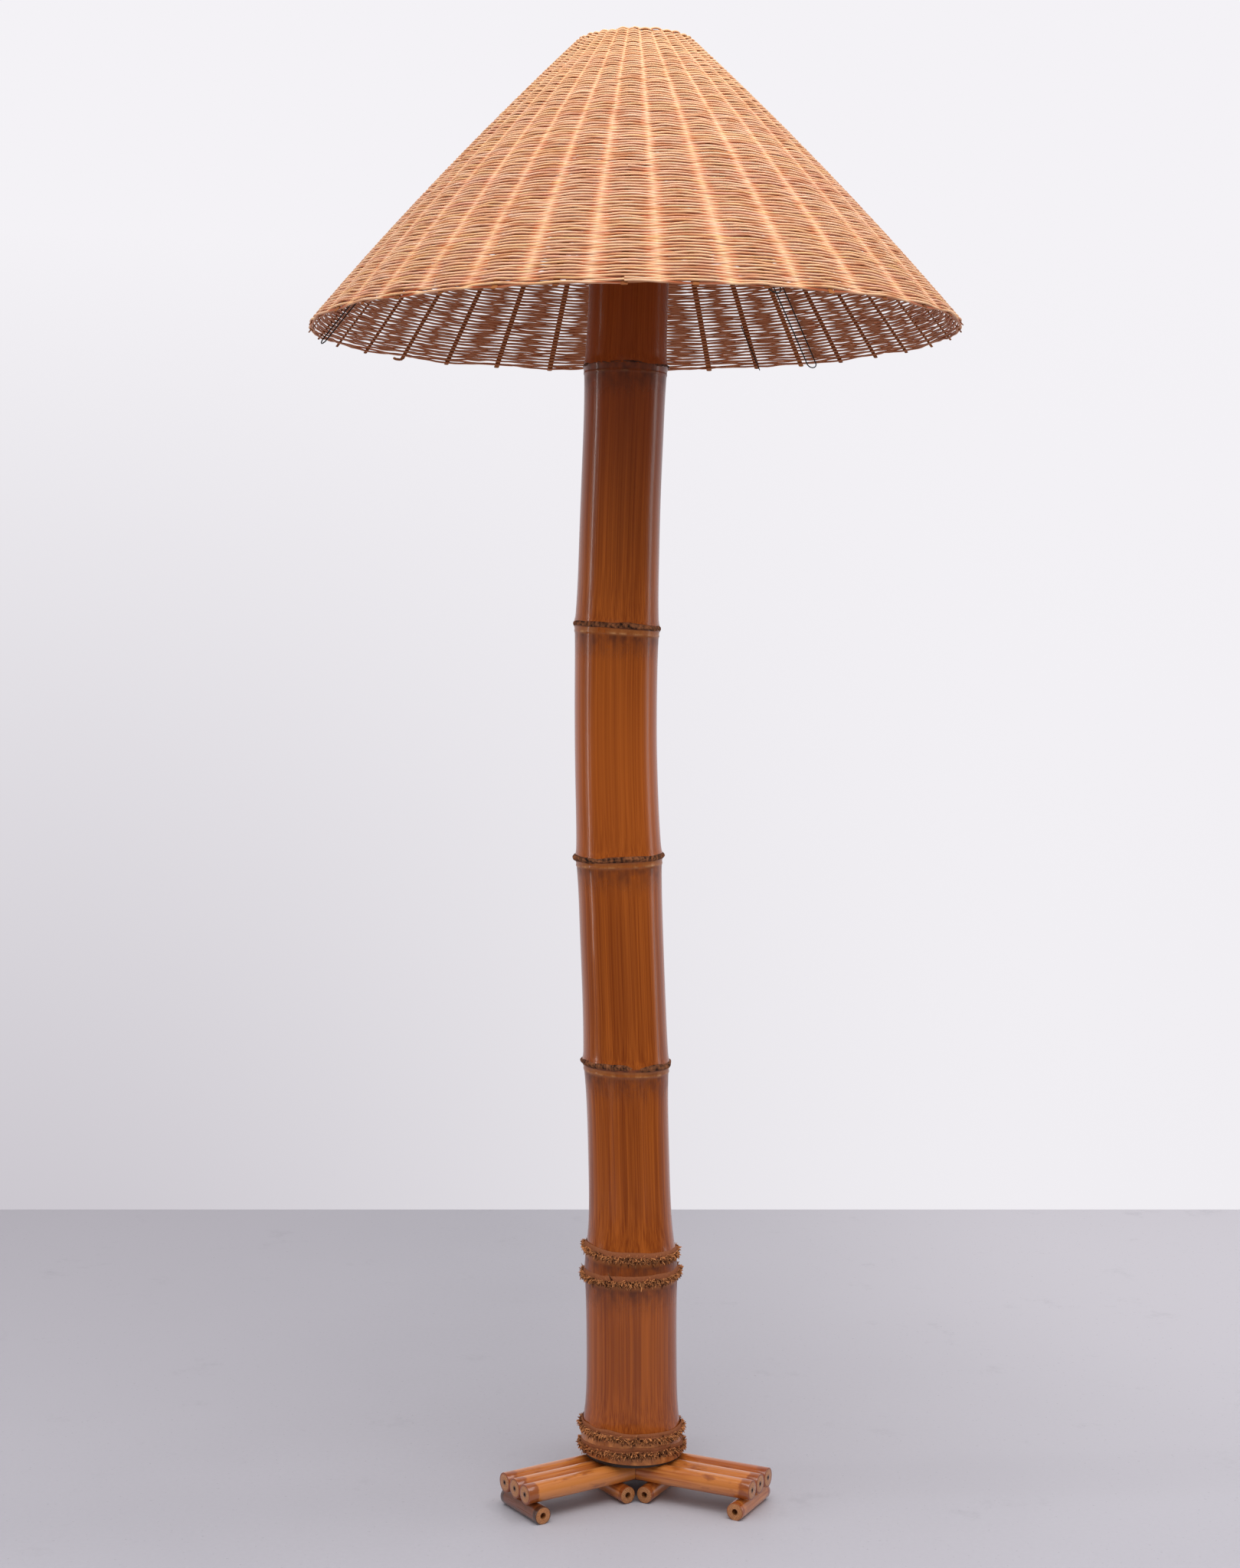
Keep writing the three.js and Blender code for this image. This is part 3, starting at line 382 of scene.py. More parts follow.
def woven_cane():
    """Peeled cane: each length has a tone of its own, with painted shade where rows lie deep."""
    surface = Surface("peeled_cane")
    grain = surface.grain()
    streak = grain.stretched(22, 900).noise()
    patch = grain.stretched(12, 60).noise(detail=3.0)
    stroke = grain.stretched(26, 90).noise(detail=3.0)
    warm = surface.mark("tone") * 0.5 + patch * 2.0 - 0.75
    colour = warm.mixed((232, 164, 132), (244, 196, 130))
    colour = streak.step(0.35, 0.75).mixed(colour, (250, 214, 182))
    colour = (stroke.step(0.5, 0.68) * 0.7).mixed(colour, (204, 128, 78))
    knots = (patch * 1.1 + streak * 0.25).step(0.82, 0.95)
    colour = (knots * 0.7).mixed(colour, (160, 88, 52))
    colour = (surface.mark("top") * 0.4).mixed(colour, (250, 206, 154))
    # Painted shade: red-brown on rows recessed behind the front rows and on the front rows' lower
    # edges
    colour = (surface.mark("groove_shade") * (0.35 + patch * 1.1)).mixed(colour, (186, 84, 38))
    # Inward faces darker: partly the cane's own darker inner side, partly painted shade on the
    # inside of the cone
    colour = (surface.mark("inside") * (0.85 + patch * 0.2)).mixed(colour, (168, 98, 60))
    return surface.set(
        base_color=colour,
        roughness=0.5 + streak * 0.2,
        specular_ior_level=0.3,
        normal=streak.bump(0.0002, 0.3),
    )


def fibre(name, dark, light):
    """Dry fibrous wood: the stakes, the ridges and the cut roots."""
    surface = Surface(name)
    speck = surface.grain().noise(420, detail=3.0)
    # Painted highlight: lighter towards the tips of roots, the outer edge of ridges and the top of
    # ledges, darker at their bases in painted shade
    lit = surface.mark("tone") * 0.85 + speck * 0.6 + surface.mark("tip_highlight") * 0.45 - 0.5
    return surface.set(
        base_color=lit.mixed(dark, light),
        roughness=0.75 + speck * 0.2,
        specular_ior_level=0.25,
        normal=speck.bump(0.0006, 0.6),
    )


def plain(name, dark, light, roughness, metallic=0.0):
    """A made surface with faint wear: metal, moulded plastic, glaze or stained wood."""
    surface = Surface(name)
    fine = surface.place().noise(300, detail=3.0)
    broad = surface.place().noise(25)
    return surface.set(
        base_color=(fine * 0.5 + broad * 0.5).step(0.35, 0.65).mixed(dark, light),
        roughness=roughness + broad * 0.12,
        metallic=metallic,
        normal=fine.bump(0.0002, 0.25),
    )


# Shapes on the bench


def close_ends(bench):
    open_edges = [edge for edge in bench.edges if edge.is_boundary]
    bmesh.ops.holes_fill(bench, edges=open_edges)


def rod(stations, sides):
    """A straight round rod of radius 1 along Z, with a ring of corners at every whole height."""
    bench = bmesh.new()
    bmesh.ops.create_grid(bench, x_segments=sides, y_segments=stations - 1, size=0.5)
    for corner in bench.verts:
        angle = (corner.co.x + 0.5) * FULL_TURN
        station = round((corner.co.y + 0.5) * (stations - 1))
        corner.co = (math.cos(angle), math.sin(angle), station)
    bmesh.ops.remove_doubles(bench, verts=bench.verts[:], dist=0.01)
    close_ends(bench)
    bmesh.ops.recalc_face_normals(bench, faces=bench.faces[:])
    return bench


def spun(outline, sides, ring=False):
    """A body turned about Z from [radius, height] points; a ring's outline closes on itself."""
    bench = bmesh.new()
    corners = [bench.verts.new((radius, 0, height)) for radius, height in outline]
    edges = [bench.edges.new(pair) for pair in zip(corners, corners[1:])]
    if ring:
        edges.append(bench.edges.new((corners[-1], corners[0])))
    turn = dict(cent=(0, 0, 0), axis=(0, 0, 1), angle=FULL_TURN, steps=sides)
    bmesh.ops.spin(bench, geom=corners + edges, **turn, use_merge=True)
    bmesh.ops.remove_doubles(bench, verts=bench.verts[:], dist=WELD)
    bmesh.ops.recalc_face_normals(bench, faces=bench.faces[:])
    return bench


def softened(bench, width, above=35):
    """Rounds the edges that turn by more than the given angle."""
    sharp = [edge for edge in bench.edges if edge.calc_face_angle(0) > math.radians(above)]
    bmesh.ops.bevel(bench, geom=sharp, offset=width, affect="EDGES", segments=2, profile=0.5)
    return bench


def sawn(bench, place, normal):
    """Cuts off what lies beyond a plane and closes the cut."""
    whole = bench.verts[:] + bench.edges[:] + bench.faces[:]
    bmesh.ops.bisect_plane(bench, geom=whole, plane_co=place, plane_no=normal, clear_outer=True)
    close_ends(bench)
    return bench


def placed(name, data):
    thing = bpy.data.objects.new(name, data)
    bpy.context.scene.collection.objects.link(thing)
    return thing


class Piece:
    """A shape from the bench, whose points are marked, moved into place and finished."""

    def __init__(self, bench, copies=1):
        self.mesh = bpy.data.meshes.new("piece")
        bench.to_mesh(self.mesh)
        bench.free()
        if copies > 1:
            stock = bmesh.new()
            for _ in range(copies):
                stock.from_mesh(self.mesh)
            stock.to_mesh(self.mesh)
            stock.free()
        places = np.empty(len(self.mesh.vertices) * 3, np.float32)
        self.mesh.vertices.foreach_get("co", places)
        self.points = places.reshape(-1, 3).astype(float)

    def mark(self, **facts):
        """Gives every point its value of each fact, for the finish to read."""
        for name, value in facts.items():
            value = np.asarray(value, np.float32)
            if value.shape == self.points.shape:
                layer = self.mesh.attributes.new(name, "FLOAT_VECTOR", "POINT")
                layer.data.foreach_set("vector", value.ravel())
            else:
                layer = self.mesh.attributes.new(name, "FLOAT", "POINT")
                layer.data.foreach_set("value", np.full(len(self.points), value))

    def fit(self, name, finish, body, slot, *nodes, crease=40):
        """Puts the piece on the lamp, in the place of the given CAD nodes."""
        self.mesh.name = name
        self.mesh.vertices.foreach_set("co", self.points.astype(np.float32).ravel())
        self.mesh.polygons.foreach_set("use_smooth", np.ones(len(self.mesh.polygons), bool))
        self.mesh.set_sharp_from_angle(angle=math.radians(crease))
        self.mesh.materials.append(finish)
        self.mesh.update()
        piece = placed(name, self.mesh)
        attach(piece, body)
        if nodes:
            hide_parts(*nodes)


def wander(points, size, seed):
    """A smooth number from about -1 to 1 that changes over the given distance."""
    rng = np.random.default_rng(seed)
    total = 0
    for _ in range(6):
        heading = rng.normal(size=points.shape[-1]) / size
        total = total + np.sin(points @ heading * 2.2 + rng.uniform(0, FULL_TURN))
    return total / 3.2


def smooth(value, low, high):
    """0 below low and 1 above high, smooth between them."""
    share = np.clip((value - low) / (high - low), 0, 1)
    return share * share * (3 - 2 * share)


def stations_of(piece):
    """Which of its rod's rings each point belongs to."""
    return np.rint(piece.points[:, 2]).astype(int)


def wire(path, diameter, sides=10):
    """A round wire along a path of points."""
    piece = Piece(rod(len(path), sides))
    station = stations_of(piece)
    heading = np.gradient(path, axis=0)
    heading /= np.linalg.norm(heading, axis=1, keepdims=True)
    side = np.cross(heading, (0.0, 0.0, 1.0))
    side /= np.linalg.norm(side, axis=1, keepdims=True)
    over = np.cross(heading, side)
    section = piece.points[:, :1] * side[station] + piece.points[:, 1:2] * over[station]
    piece.points = path[station] + diameter / 2 * section
    return piece


# Woven shade


def shade_side(along, offset):
    """Radius and height on the shade's side: along is up the slant, offset is outwards."""
    share = along / SLANT
    slope = 4 * SHADE_BULGE * (1 - 2 * share) / SLANT
    length = np.sqrt(1 + slope * slope)
    bulge = 4 * SHADE_BULGE * share * (1 - share)
    out = [(OUTWARD[axis] - LEAN[axis] * slope) / length * offset for axis in (0, 1)]
    radius = RIM_RADIUS + LEAN[0] * along + OUTWARD[0] * bulge + out[0]
    height = RIM_HEIGHT + LEAN[1] * along + OUTWARD[1] * bulge + out[1]
    return radius, height


def around_shade(azimuth, radius, height):
    """Points about the lamp's axis; azimuth 0 is the front, and it grows to the right."""
    across, away = radius * np.sin(azimuth), -radius * np.cos(azimuth)
    return np.stack(np.broadcast_arrays(across, away, height), axis=-1)


def hand_set_azimuth(even):
    """Where the stakes stand, from evenly spaced angles: they were set by hand."""
    twice = SWAY_TWICE * (math.cos(SWAY_TWICE_LAG) - np.cos(2 * even + SWAY_TWICE_LAG))
    return STAKE_PHASE + even + twice + SWAY_ONCE * (1 - np.cos(even))


def woven_strand(passed, along, side, seed, girth=1):
    """One strand past the given number of stakes, in front of one and behind the next."""
    piece = Piece(rod(len(passed), WEAVER_SIDES))
    azimuth = hand_set_azimuth(passed / STAKES * FULL_TURN)
    centre = around_shade(azimuth, *shade_side(along, 0))
    length = np.concatenate([[0], np.cumsum(np.linalg.norm(np.diff(centre, axis=0), axis=1))])
    row_place = length[:, None] + [seed, 0.0]
    along = along + SHADE_WANDER * wander(centre, 0.07, 5)
    along = along + PATCH_WANDER * wander(centre, 0.018, 6)
    along = along + ROW_WANDER * wander(row_place, 0.035, 9)
    narrow = shade_side(along, 0)[0] / RIM_RADIUS
    shift = 0.02 * wander(row_place, 0.02, 7) + 0.03 * wander(centre, 0.05, 17)
    swing = np.cos(math.pi * (passed + shift))
    ease = np.clip(1.15 + 0.3 * narrow + 0.25 * wander(row_place, 0.03, 8), 0.8, 3)
    offset = side * WEAVER_OFFSET * np.sign(swing) * np.abs(swing) ** ease
    rng = np.random.default_rng(seed)
    run = (length / WEAVER_RUN).astype(int)
    tones = rng.uniform(0, 1, run.max() + 1)
    sorted_girth = 0.92 + 0.14 * rng.uniform(0, 1, run.max() + 1)
    thickness = girth * WEAVER_DIAMETER / 2 * sorted_girth[run]
    thickness = thickness * (1 + 0.08 * wander(row_place, 0.05, 12))
    station = stations_of(piece)
    upward, outward = piece.points[:, 0], piece.points[:, 1]
    run, thick = run[station], thickness[station]
    up = along[station] + thick * upward
    out = offset[station] + thick * 1.06 * outward
    side_of_stake = np.sign(offset[station])
    recess = smooth(np.abs(offset[station]), 0.00004, 0.00045)
    # Painted shade: the outer face of each recessed row, and the lower edge of each front row
    hidden = smooth(outward, -0.4, 0.2) * (side_of_stake < 0)
    shaded_lower_edge = 0.3 * smooth(-upward, 0.1, 0.9) * (side_of_stake > 0)
    piece.mark(
        grain=np.stack([length[station], thick * outward + run * 0.37, thick * upward], -1),
        tone=tones[run],
        groove_shade=recess * (hidden + shaded_lower_edge),
        inside=smooth(0.57 * upward - 0.82 * outward, 0.15, 0.5),
        top=smooth(up / SLANT, 0.45, 1),
    )
    piece.points = around_shade(azimuth[station], *shade_side(up, out))
    return piece


def shade_weave(finish):
    """One long strand wound up the shade in rows, and packed rows at the rim and at the top."""
    low = BORDER_EDGE + BORDER_PITCH * (BORDER_ROWS + 0.3)
    high = SLANT - low
    steps_per_band = WEAVER_ROWS // WEAVE_BANDS * STAKES * WEAVER_STEPS
    strands = {}
    for band in range(WEAVE_BANDS):
        passed = (band * steps_per_band + np.arange(steps_per_band + 1)) / WEAVER_STEPS
        along = low + (high - low) * passed / STAKES / WEAVER_ROWS
        strands[f"woven_band_{band + 1}"] = woven_strand(passed, along, 1, 100 + band)
    once_round = np.arange(STAKES * WEAVER_STEPS + 1) / WEAVER_STEPS
    for edge, level, inwards in (("rim", 0, 1), ("top", SLANT, -1)):
        for row in range(BORDER_ROWS):
            along = level + inwards * (BORDER_EDGE + BORDER_PITCH * row) + 0 * once_round
            strand = woven_strand(once_round, along, (-1) ** row, 200 + row, BORDER_GIRTH)
            strands[f"{edge}_border_{row + 1}"] = strand
    for name, strand in strands.items():
        strand.fit(name, finish, "shade", "peeled_cane", "shade_weave", crease=80)


def shade_stakes(finish):
    """Flat stakes from just below the rim to the top."""
    stub = [-STAKE_STUB, -STAKE_STUB + STAKE_POINT]
    levels = np.concatenate([stub, np.linspace(0, SLANT - STAKE_TOP_GAP, STAKE_RINGS)])
    piece = Piece(rod(len(levels), 8), copies=STAKES)
    station = stations_of(piece).reshape(STAKES, -1)
    rng = np.random.default_rng(11)
    trim = rng.uniform(0, STAKE_TRIM, (STAKES, 1)) * (station < 2)
    taper = np.where(station == 0, STAKE_POINT_TAPER, 1)
    thick = taper * STAKE_THICKNESS / 2 * piece.points[:, 0].reshape(station.shape)
    wide = taper * STAKE_WIDTH / 2 * piece.points[:, 1].reshape(station.shape)
    along = levels[station] + trim
    radius, height = shade_side(along, thick)
    azimuth = hand_set_azimuth(np.arange(STAKES) / STAKES * FULL_TURN)[:, None]
    tone = rng.uniform(0, 1, (STAKES, 1)) + 0 * along
    shifted = along + np.arange(STAKES)[:, None]
    piece.mark(grain=np.stack([shifted, wide, thick], -1).reshape(-1, 3), tone=tone.ravel(), tip_highlight=0)
    piece.points = around_shade(azimuth + wide / radius, radius, height).reshape(-1, 3)
    piece.fit("stake_set", finish, "shade", "stake_cane", "shade_stakes", crease=80)


def rim_details(wire_finish, cane_finish):
    """A short binding under the rim, where a strand was joined, and a loose wire inside."""
    azimuth = np.linspace(*BINDING_AZIMUTHS, len(BINDING_LEVELS))
    radius, height = shade_side(BINDING_LEVELS, 0)
    binding = wire(around_shade(azimuth, radius, height), BINDING_DIAMETER)
    binding.mark(grain=binding.points, tone=0.5, tip_highlight=0)
    binding.fit("rim_binding", cane_finish, "shade", "stake_cane")
    azimuth = np.linspace(*LOOSE_WIRE_AZIMUTHS, 12)
    radius, height = shade_side(np.linspace(*LOOSE_WIRE_LEVELS, 12), STRUT_OFFSET)
    loose_wire = wire(around_shade(azimuth, radius, height), LOOSE_WIRE)
    loose_wire.fit("loose_wire", wire_finish, "shade", "black_wire")


def frame_azimuth(arm):
    return FRAME_PHASE + arm * FULL_TURN / FRAME_ARMS


def shade_hairpins(finish):
    """Wire hairpins: two legs up the inside of the shade, and a loop under the rim."""
    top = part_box("shade_strut_1")[1].z
    bend = STRUT_SPREAD / 2
    angle = np.linspace(0, math.pi, 17)[1:-1]
    leg = np.linspace((top - RIM_HEIGHT) / LEAN[1], bend - STRUT_LOOP, 24)
    along = np.concatenate([leg, bend - STRUT_LOOP - bend * np.sin(angle), leg[::-1]])
    across = np.concatenate([-bend + 0 * leg, -bend * np.cos(angle), bend + 0 * leg])
    radius, height = shade_side(along, STRUT_OFFSET)
    for arm in range(FRAME_ARMS):
        azimuth = frame_azimuth(arm) + across / radius
        hairpin = wire(around_shade(azimuth, radius, height), STRUT_WIRE)
        hairpin.fit(f"hairpin_{arm + 1}", finish, "shade", "black_wire", f"shade_strut_{arm + 1}")


# Bamboo trunk

trunk_low, trunk_high = (corner.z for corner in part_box("bamboo_trunk"))


def trunk_drift(height):
    """How far the crooked trunk's centre stands from the lamp's axis."""
    share = np.clip((height - trunk_low) / TRUNK_LENGTH, 0, 1)
    share = share * (len(SWAY_SHARES) - 1)
    knots = np.array([SWAY_SHARES[0], *SWAY_SHARES, SWAY_SHARES[-1]])
    start = np.minimum(share.astype(int), len(SWAY_SHARES) - 2)
    t = share - start
    before, here, there, beyond = (knots[start + k] for k in range(4))
    leaving, arriving = (there - before) / 2, (beyond - here) / 2
    cubic = 2 * (here - there) + leaving + arriving
    square = 3 * (there - here) - 2 * leaving - arriving
    return TRUNK_SWAY * (((cubic * t + square) * t + leaving) * t + here)


def joint_height(joint):
    return trunk_low + joint["height"] * TRUNK_LENGTH


def trunk_tilt(height):
    near = [np.exp(-(((height - joint_height(joint)) / TILT_REACH) ** 2)) for joint in JOINTS]
    return sum(joint["tilt"] * share for joint, share in zip(JOINTS, near))


def trunk_radius(height):
    """The trunk's smooth outline, without its ridges and scars."""
    share = np.full_like(height, JOINTS[0]["shoulder"])
    for index, joint in enumerate(JOINTS):
        last = index + 1 == len(JOINTS)
        top = trunk_high if last else joint_height(JOINTS[index + 1])
        t = np.clip((height - joint_height(joint)) / (top - joint_height(joint)), 0, 1)
        upper = joint["waist"] if last else JOINTS[index + 1]["shoulder"]
        here = joint["shoulder"] + (upper - joint["shoulder"]) * t
        if joint["waist"]:
            fall = 1.0 if last else 1 - np.exp(-(1 - t) / WAIST_FALL)
            here = here + (joint["waist"] - here) * (1 - np.exp(-t / WAIST_RISE)) * fall
        share = np.where(height >= joint_height(joint), here, share)
    return share * TRUNK_DIAMETER / 2


def trunk_outline():
    heights = [np.linspace(trunk_low, trunk_high, TRUNK_RINGS)]
    for joint in JOINTS:
        heights.append(joint_height(joint) + np.linspace(-0.016, 0.012, JOINT_RINGS))
    height = np.unique(np.clip(np.concatenate(heights), trunk_low, trunk_high))
    radius = trunk_radius(height)
    for joint in RIDGE_JOINTS:
        below = joint_height(joint) - height
        radius += RIDGE_SWELL * np.exp(-((below / RIDGE_SWELL_REACH) ** 2))
        radius += SCAR_RISE * np.exp(-(((below - SCAR_DROP) / SCAR_HEIGHT) ** 2))
    return [(0, trunk_low), *zip(radius, height), (0, trunk_high)]


def trunk_surface(finish):
    piece = Piece(spun(trunk_outline(), TRUNK_SIDES))
    height = piece.points[:, 2].copy()
    height_share = (height - trunk_low) / TRUNK_LENGTH
    below = np.array([joint_height(joint) - height for joint in JOINTS])
    scars = (below[len(ROOT_JOINTS) :] - SCAR_DROP) / SCAR_HEIGHT
    foot_top = joint_height(JOINTS[1])
    piece.mark(
        grain=piece.points[:, [2, 0, 1]],
        under_joint=np.where(below >= 0, below, 1).min(axis=0),
        scar=np.exp(-((1.6 * scars) ** 2)).sum(axis=0),
        # painted shadow of the shade, growing towards the trunk's top
        crown_shadow=smooth(height_share, *CROWN_SHADOW_SHARES),
        paler=np.exp(-(((height_share - PALE_SHARE) / PALE_REACH_SHARE) ** 2)),
        foot=1 - smooth(height, foot_top - 0.004, foot_top + 0.003),
    )
    piece.points[:, :2] *= 1 + 0.004 * wander(piece.points, 0.09, 21)[:, None]
    piece.points[:, 2] += trunk_tilt(height) * piece.points[:, 0]
    piece.points[:, 0] += trunk_drift(height)
    piece.fit("trunk_surface", finish, "stand", "lacquered_bamboo", "bamboo_trunk")


def placed_at(joint, points):
    """Tilts a ring's points with its joint and moves them with the crooked trunk."""
    forward = smooth(-points[..., 1] / TRUNK_DIAMETER, 0.1, 0.6)
    tilted = points[..., 2] + joint["tilt"] * points[..., 0] + joint.get("front_rise", 0) * forward
    across = points[..., 0] + trunk_drift(joint_height(joint))
    return np.stack([across, points[..., 1], tilted], -1)


def trunk_ridges(rough, dark):
    """The rough, rope-like ridges round the plain joints, the last of them darker."""
    for number, joint in enumerate(RIDGE_JOINTS):
        finish = dark if joint is RIDGE_JOINTS[-1] else rough
        height = joint_height(joint)
        inner = trunk_radius(height) - 0.0008
        rise = joint["reach"] * TRUNK_DIAMETER / 2 - inner
        lift = np.linspace(0, math.pi, RIDGE_SECTION)
        outline = [inner + rise * np.sin(lift), height + np.cos(lift) * RIDGE_HEIGHT / 2]
        outline = np.stack(outline, -1)
        piece = Piece(spun(outline, RIDGE_SIDES, ring=True))
        radius = np.hypot(piece.points[:, 0], piece.points[:, 1])
        out = np.clip((radius - inner) / rise, 0, 1)
        thickness = joint.get("thickness", 1.0)
        over = (piece.points[:, 2] - height) * thickness
        level = piece.points[:, :2]
        lumps = 0.6 * wander(piece.points, 0.0035, 31 + number)
        lumps = lumps + 0.5 * wander(piece.points, 0.0016, 41 + number)
        girth = 1 + 0.4 * wander(level, 0.02, 51 + number)
        reach = inner + rise * out * thickness * girth + 0.0006 * lumps * out
        piece.mark(grain=piece.points, tone=np.clip(0.5 + 0.55 * lumps, 0, 1), tip_highlight=0.35 * out)
        piece.points[:, :2] *= (reach / radius)[:, None]
        wave = 0.0012 * wander(level, 0.03, 61 + number)
        piece.points[:, 2] = height + over * (0.85 + 0.15 * girth) + wave
        piece.points = placed_at(joint, piece.points)
        piece.fit(f"joint_ridge_{number + 1}", finish, "stand", "root_fibre")


def ledge_outline(shoulder, lip, height):
    """A rolled ledge round the trunk, from its foot out to its lip and back."""
    width = lip - shoulder
    return [
        (shoulder - 0.0004, height - LEDGE_HALF_HEIGHT),
        (shoulder + 0.3 * width, height - LEDGE_HALF_HEIGHT + 0.0006),
        (lip - 0.0006, height - LEDGE_LIP),
        (lip, height - LEDGE_LIP / 2),
        (lip - 0.0002, height - 0.0004),
        (lip - 0.001, height + 0.0006),
        (shoulder + 0.45 * width, height + 0.0021),
        (shoulder + 0.12 * width, height + 0.0036),
        (shoulder - 0.0004, height + LEDGE_HALF_HEIGHT),
    ]


def ring_wave(level, number):
    """How far a root ring wanders up and down on its way round the trunk."""
    return RING_WAVE * wander(level, RING_WAVE_LENGTH, 71 + number)


def root_ledge(finish, number, joint, shoulder, lip):
    height = joint_height(joint)
    piece = Piece(spun(ledge_outline(shoulder, lip, height), LEDGE_SIDES, ring=True))
    level = piece.points[:, :2]
    piece.mark(grain=piece.points, tone=0.4, tip_highlight=smooth(piece.points[:, 2] - height, -0.004, 0.003))
    piece.points[:, 2] += ring_wave(level, number)
    piece.points[:, :2] *= 1 + 0.008 * wander(level, 0.012, 81 + number)[:, None]
    piece.points = placed_at(joint, piece.points)
    piece.fit(f"root_ledge_{number}", finish, "stand", "root_fibre", f"root_ring_{number}")


def root_fringe(finish, number, joint, shoulder, lip):
    """A crumbly fringe of cut roots under the ledge's lip."""
    piece = Piece(rod(4, 5), copies=NUBS_PER_RING)
    section = piece.points.reshape(NUBS_PER_RING, -1, 3)
    station = np.rint(section[..., 2:]).astype(int)
    share, girth = NUB_LENGTH_SHARES[station], NUB_GIRTH_SHARES[station]
    rng = np.random.default_rng(91 + number)

    def spread(low, high):
        return rng.uniform(low, high, (NUBS_PER_RING, 1, 1))

    def scatter(size):
        return rng.normal(0, size, (NUBS_PER_RING, 1, 1))

    angle = spread(0, FULL_TURN)
    row = spread(0, 1)
    droop = np.radians(8) + np.radians(52) * row + scatter(0.4)
    swerve = scatter(0.5)
    length = NUB_LENGTH * spread(0.55, 1.3) * (1.12 - 0.3 * row)
    thick = NUB_DIAMETER / 2 * spread(0.5, 1.15)
    tone = spread(0, 1)
    level_reach = np.cos(droop)
    axis = [level_reach * np.cos(swerve), level_reach * np.sin(swerve), -np.sin(droop)]
    axis = np.concatenate(axis, -1)
    curl = np.concatenate([0 * angle, scatter(0.3), scatter(0.3)], -1)
    first = np.cross(axis, (0, 0, 1.0))
    first /= np.linalg.norm(first, axis=-1, keepdims=True)
    second = np.cross(axis, first)
    out = lip - 0.0012 - 0.55 * (lip - shoulder) * row**2
    low = joint_height(joint) - 0.0003 - LEDGE_HALF_HEIGHT * 0.95 * row
    root = np.concatenate([out, 0 * out, low], -1)
    points = root + (axis + curl * share) * length * share
    points = points + thick * girth * (section[..., :1] * first + section[..., 1:2] * second)
    cos, sin = np.cos(angle), np.sin(angle)
    across = points[..., :1] * cos - points[..., 1:2] * sin
    away = points[..., :1] * sin + points[..., 1:2] * cos
    level = out * np.concatenate([cos, sin], -1)
    rise = ring_wave(level, number)[..., None]
    points = np.concatenate([across, away, points[..., 2:] + rise], -1).reshape(-1, 3)
    # Painted highlight on each nub's tip, weaker on the lower rows under the ledge, left in painted
    # shade
    tip_highlight = NUB_HIGHLIGHT_SHARES[station] * (1 - 0.75 * row)
    piece.mark(grain=points, tone=(tone + 0 * share).ravel(), tip_highlight=tip_highlight.ravel())
    piece.points = placed_at(joint, points)
    piece.fit(f"root_fringe_{number}", finish, "stand", "root_fibre", crease=80)


def root_rings(ledge_finish, fringe_finish):
    for number, joint in enumerate(ROOT_JOINTS, 1):
        shoulder = trunk_radius(joint_height(joint))
        lip = joint["reach"] * TRUNK_DIAMETER / 2 - NUB_LENGTH * 0.75
        root_ledge(ledge_finish, number, joint, shoulder, lip)
        root_fringe(fringe_finish, number, joint, shoulder, lip)


# Cane base

foot_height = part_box("rear_outer_foot_cane")[1].z
arm_height = sum(corner.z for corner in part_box("rear_arm_cane_1")) / 2


def cane(length, radius, hole, hole_depth, holed_ends):
    """A cane along Z about its middle, with rounded ends and a hole in the top one or both."""
    bench = rod(CANE_RINGS, CANE_SIDES)
    bmesh.ops.translate(bench, vec=(0, 0, (1 - CANE_RINGS) / 2), verts=bench.verts[:])
    bmesh.ops.scale(bench, vec=(radius, radius, length / (CANE_RINGS - 1)), verts=bench.verts[:])
    softened(bench, CUT_EDGE, above=60)
    caps = [face for face in bench.faces if len(face.verts) == CANE_SIDES]
    caps.sort(key=lambda cap: -cap.calc_center_median().z)
    for cap in caps[:holed_ends]:
        bmesh.ops.inset_region(bench, faces=[cap], thickness=radius - CUT_EDGE - hole)
        bmesh.ops.inset_region(bench, faces=[cap], thickness=hole / 8, depth=-hole_depth)
    return bench


def laid_cane(bench, radius, length, turn, centre, cuts, seed):
    """Lays a cane in its arm's own frame, saws it there, and marks its grain and its ends."""
    bmesh.ops.transform(bench, matrix=Matrix.Translation(centre) @ turn, verts=bench.verts[:])
    for place, normal in cuts:
        sawn(bench, place, normal)
    piece = Piece(bench)
    axes = np.array(turn.to_3x3())
    local = (piece.points - centre) @ axes
    rng = np.random.default_rng(seed)
    spread = np.hypot(local[:, 0], local[:, 1])
    from_middle = np.abs(local[:, 2])
    at_end = from_middle > length / 2 - CUT_EDGE / 2
    grain = local[:, [2, 0, 1]] + [rng.uniform(0, 5), 0, 0]
    piece.mark(
        grain=grain,
        tone=rng.uniform(0, 1),
        cut=(at_end & (spread < radius * 0.985)) | (spread < 0.8 * radius),
        end=2 * from_middle / length,
    )
    local[:, :2] *= 0.996 + 0.004 * wander(grain, 0.02, seed)[:, None]
    piece.points = local @ axes.T + centre
    return piece


def place_in_base(piece, arm, finish, slot, node):
    """Turns what was laid along +X to its arm, and moves it with the base."""
    angle = math.pi / 2 + BASE_TURN + arm * FULL_TURN / len(ARM_NAMES)
    piece.points = piece.points @ np.array(Matrix.Rotation(angle, 3, "Z")).T
    piece.points[:, 0] += BASE_SHIFT
    piece.fit(f"{node}_dressed", finish, "stand", slot, node)


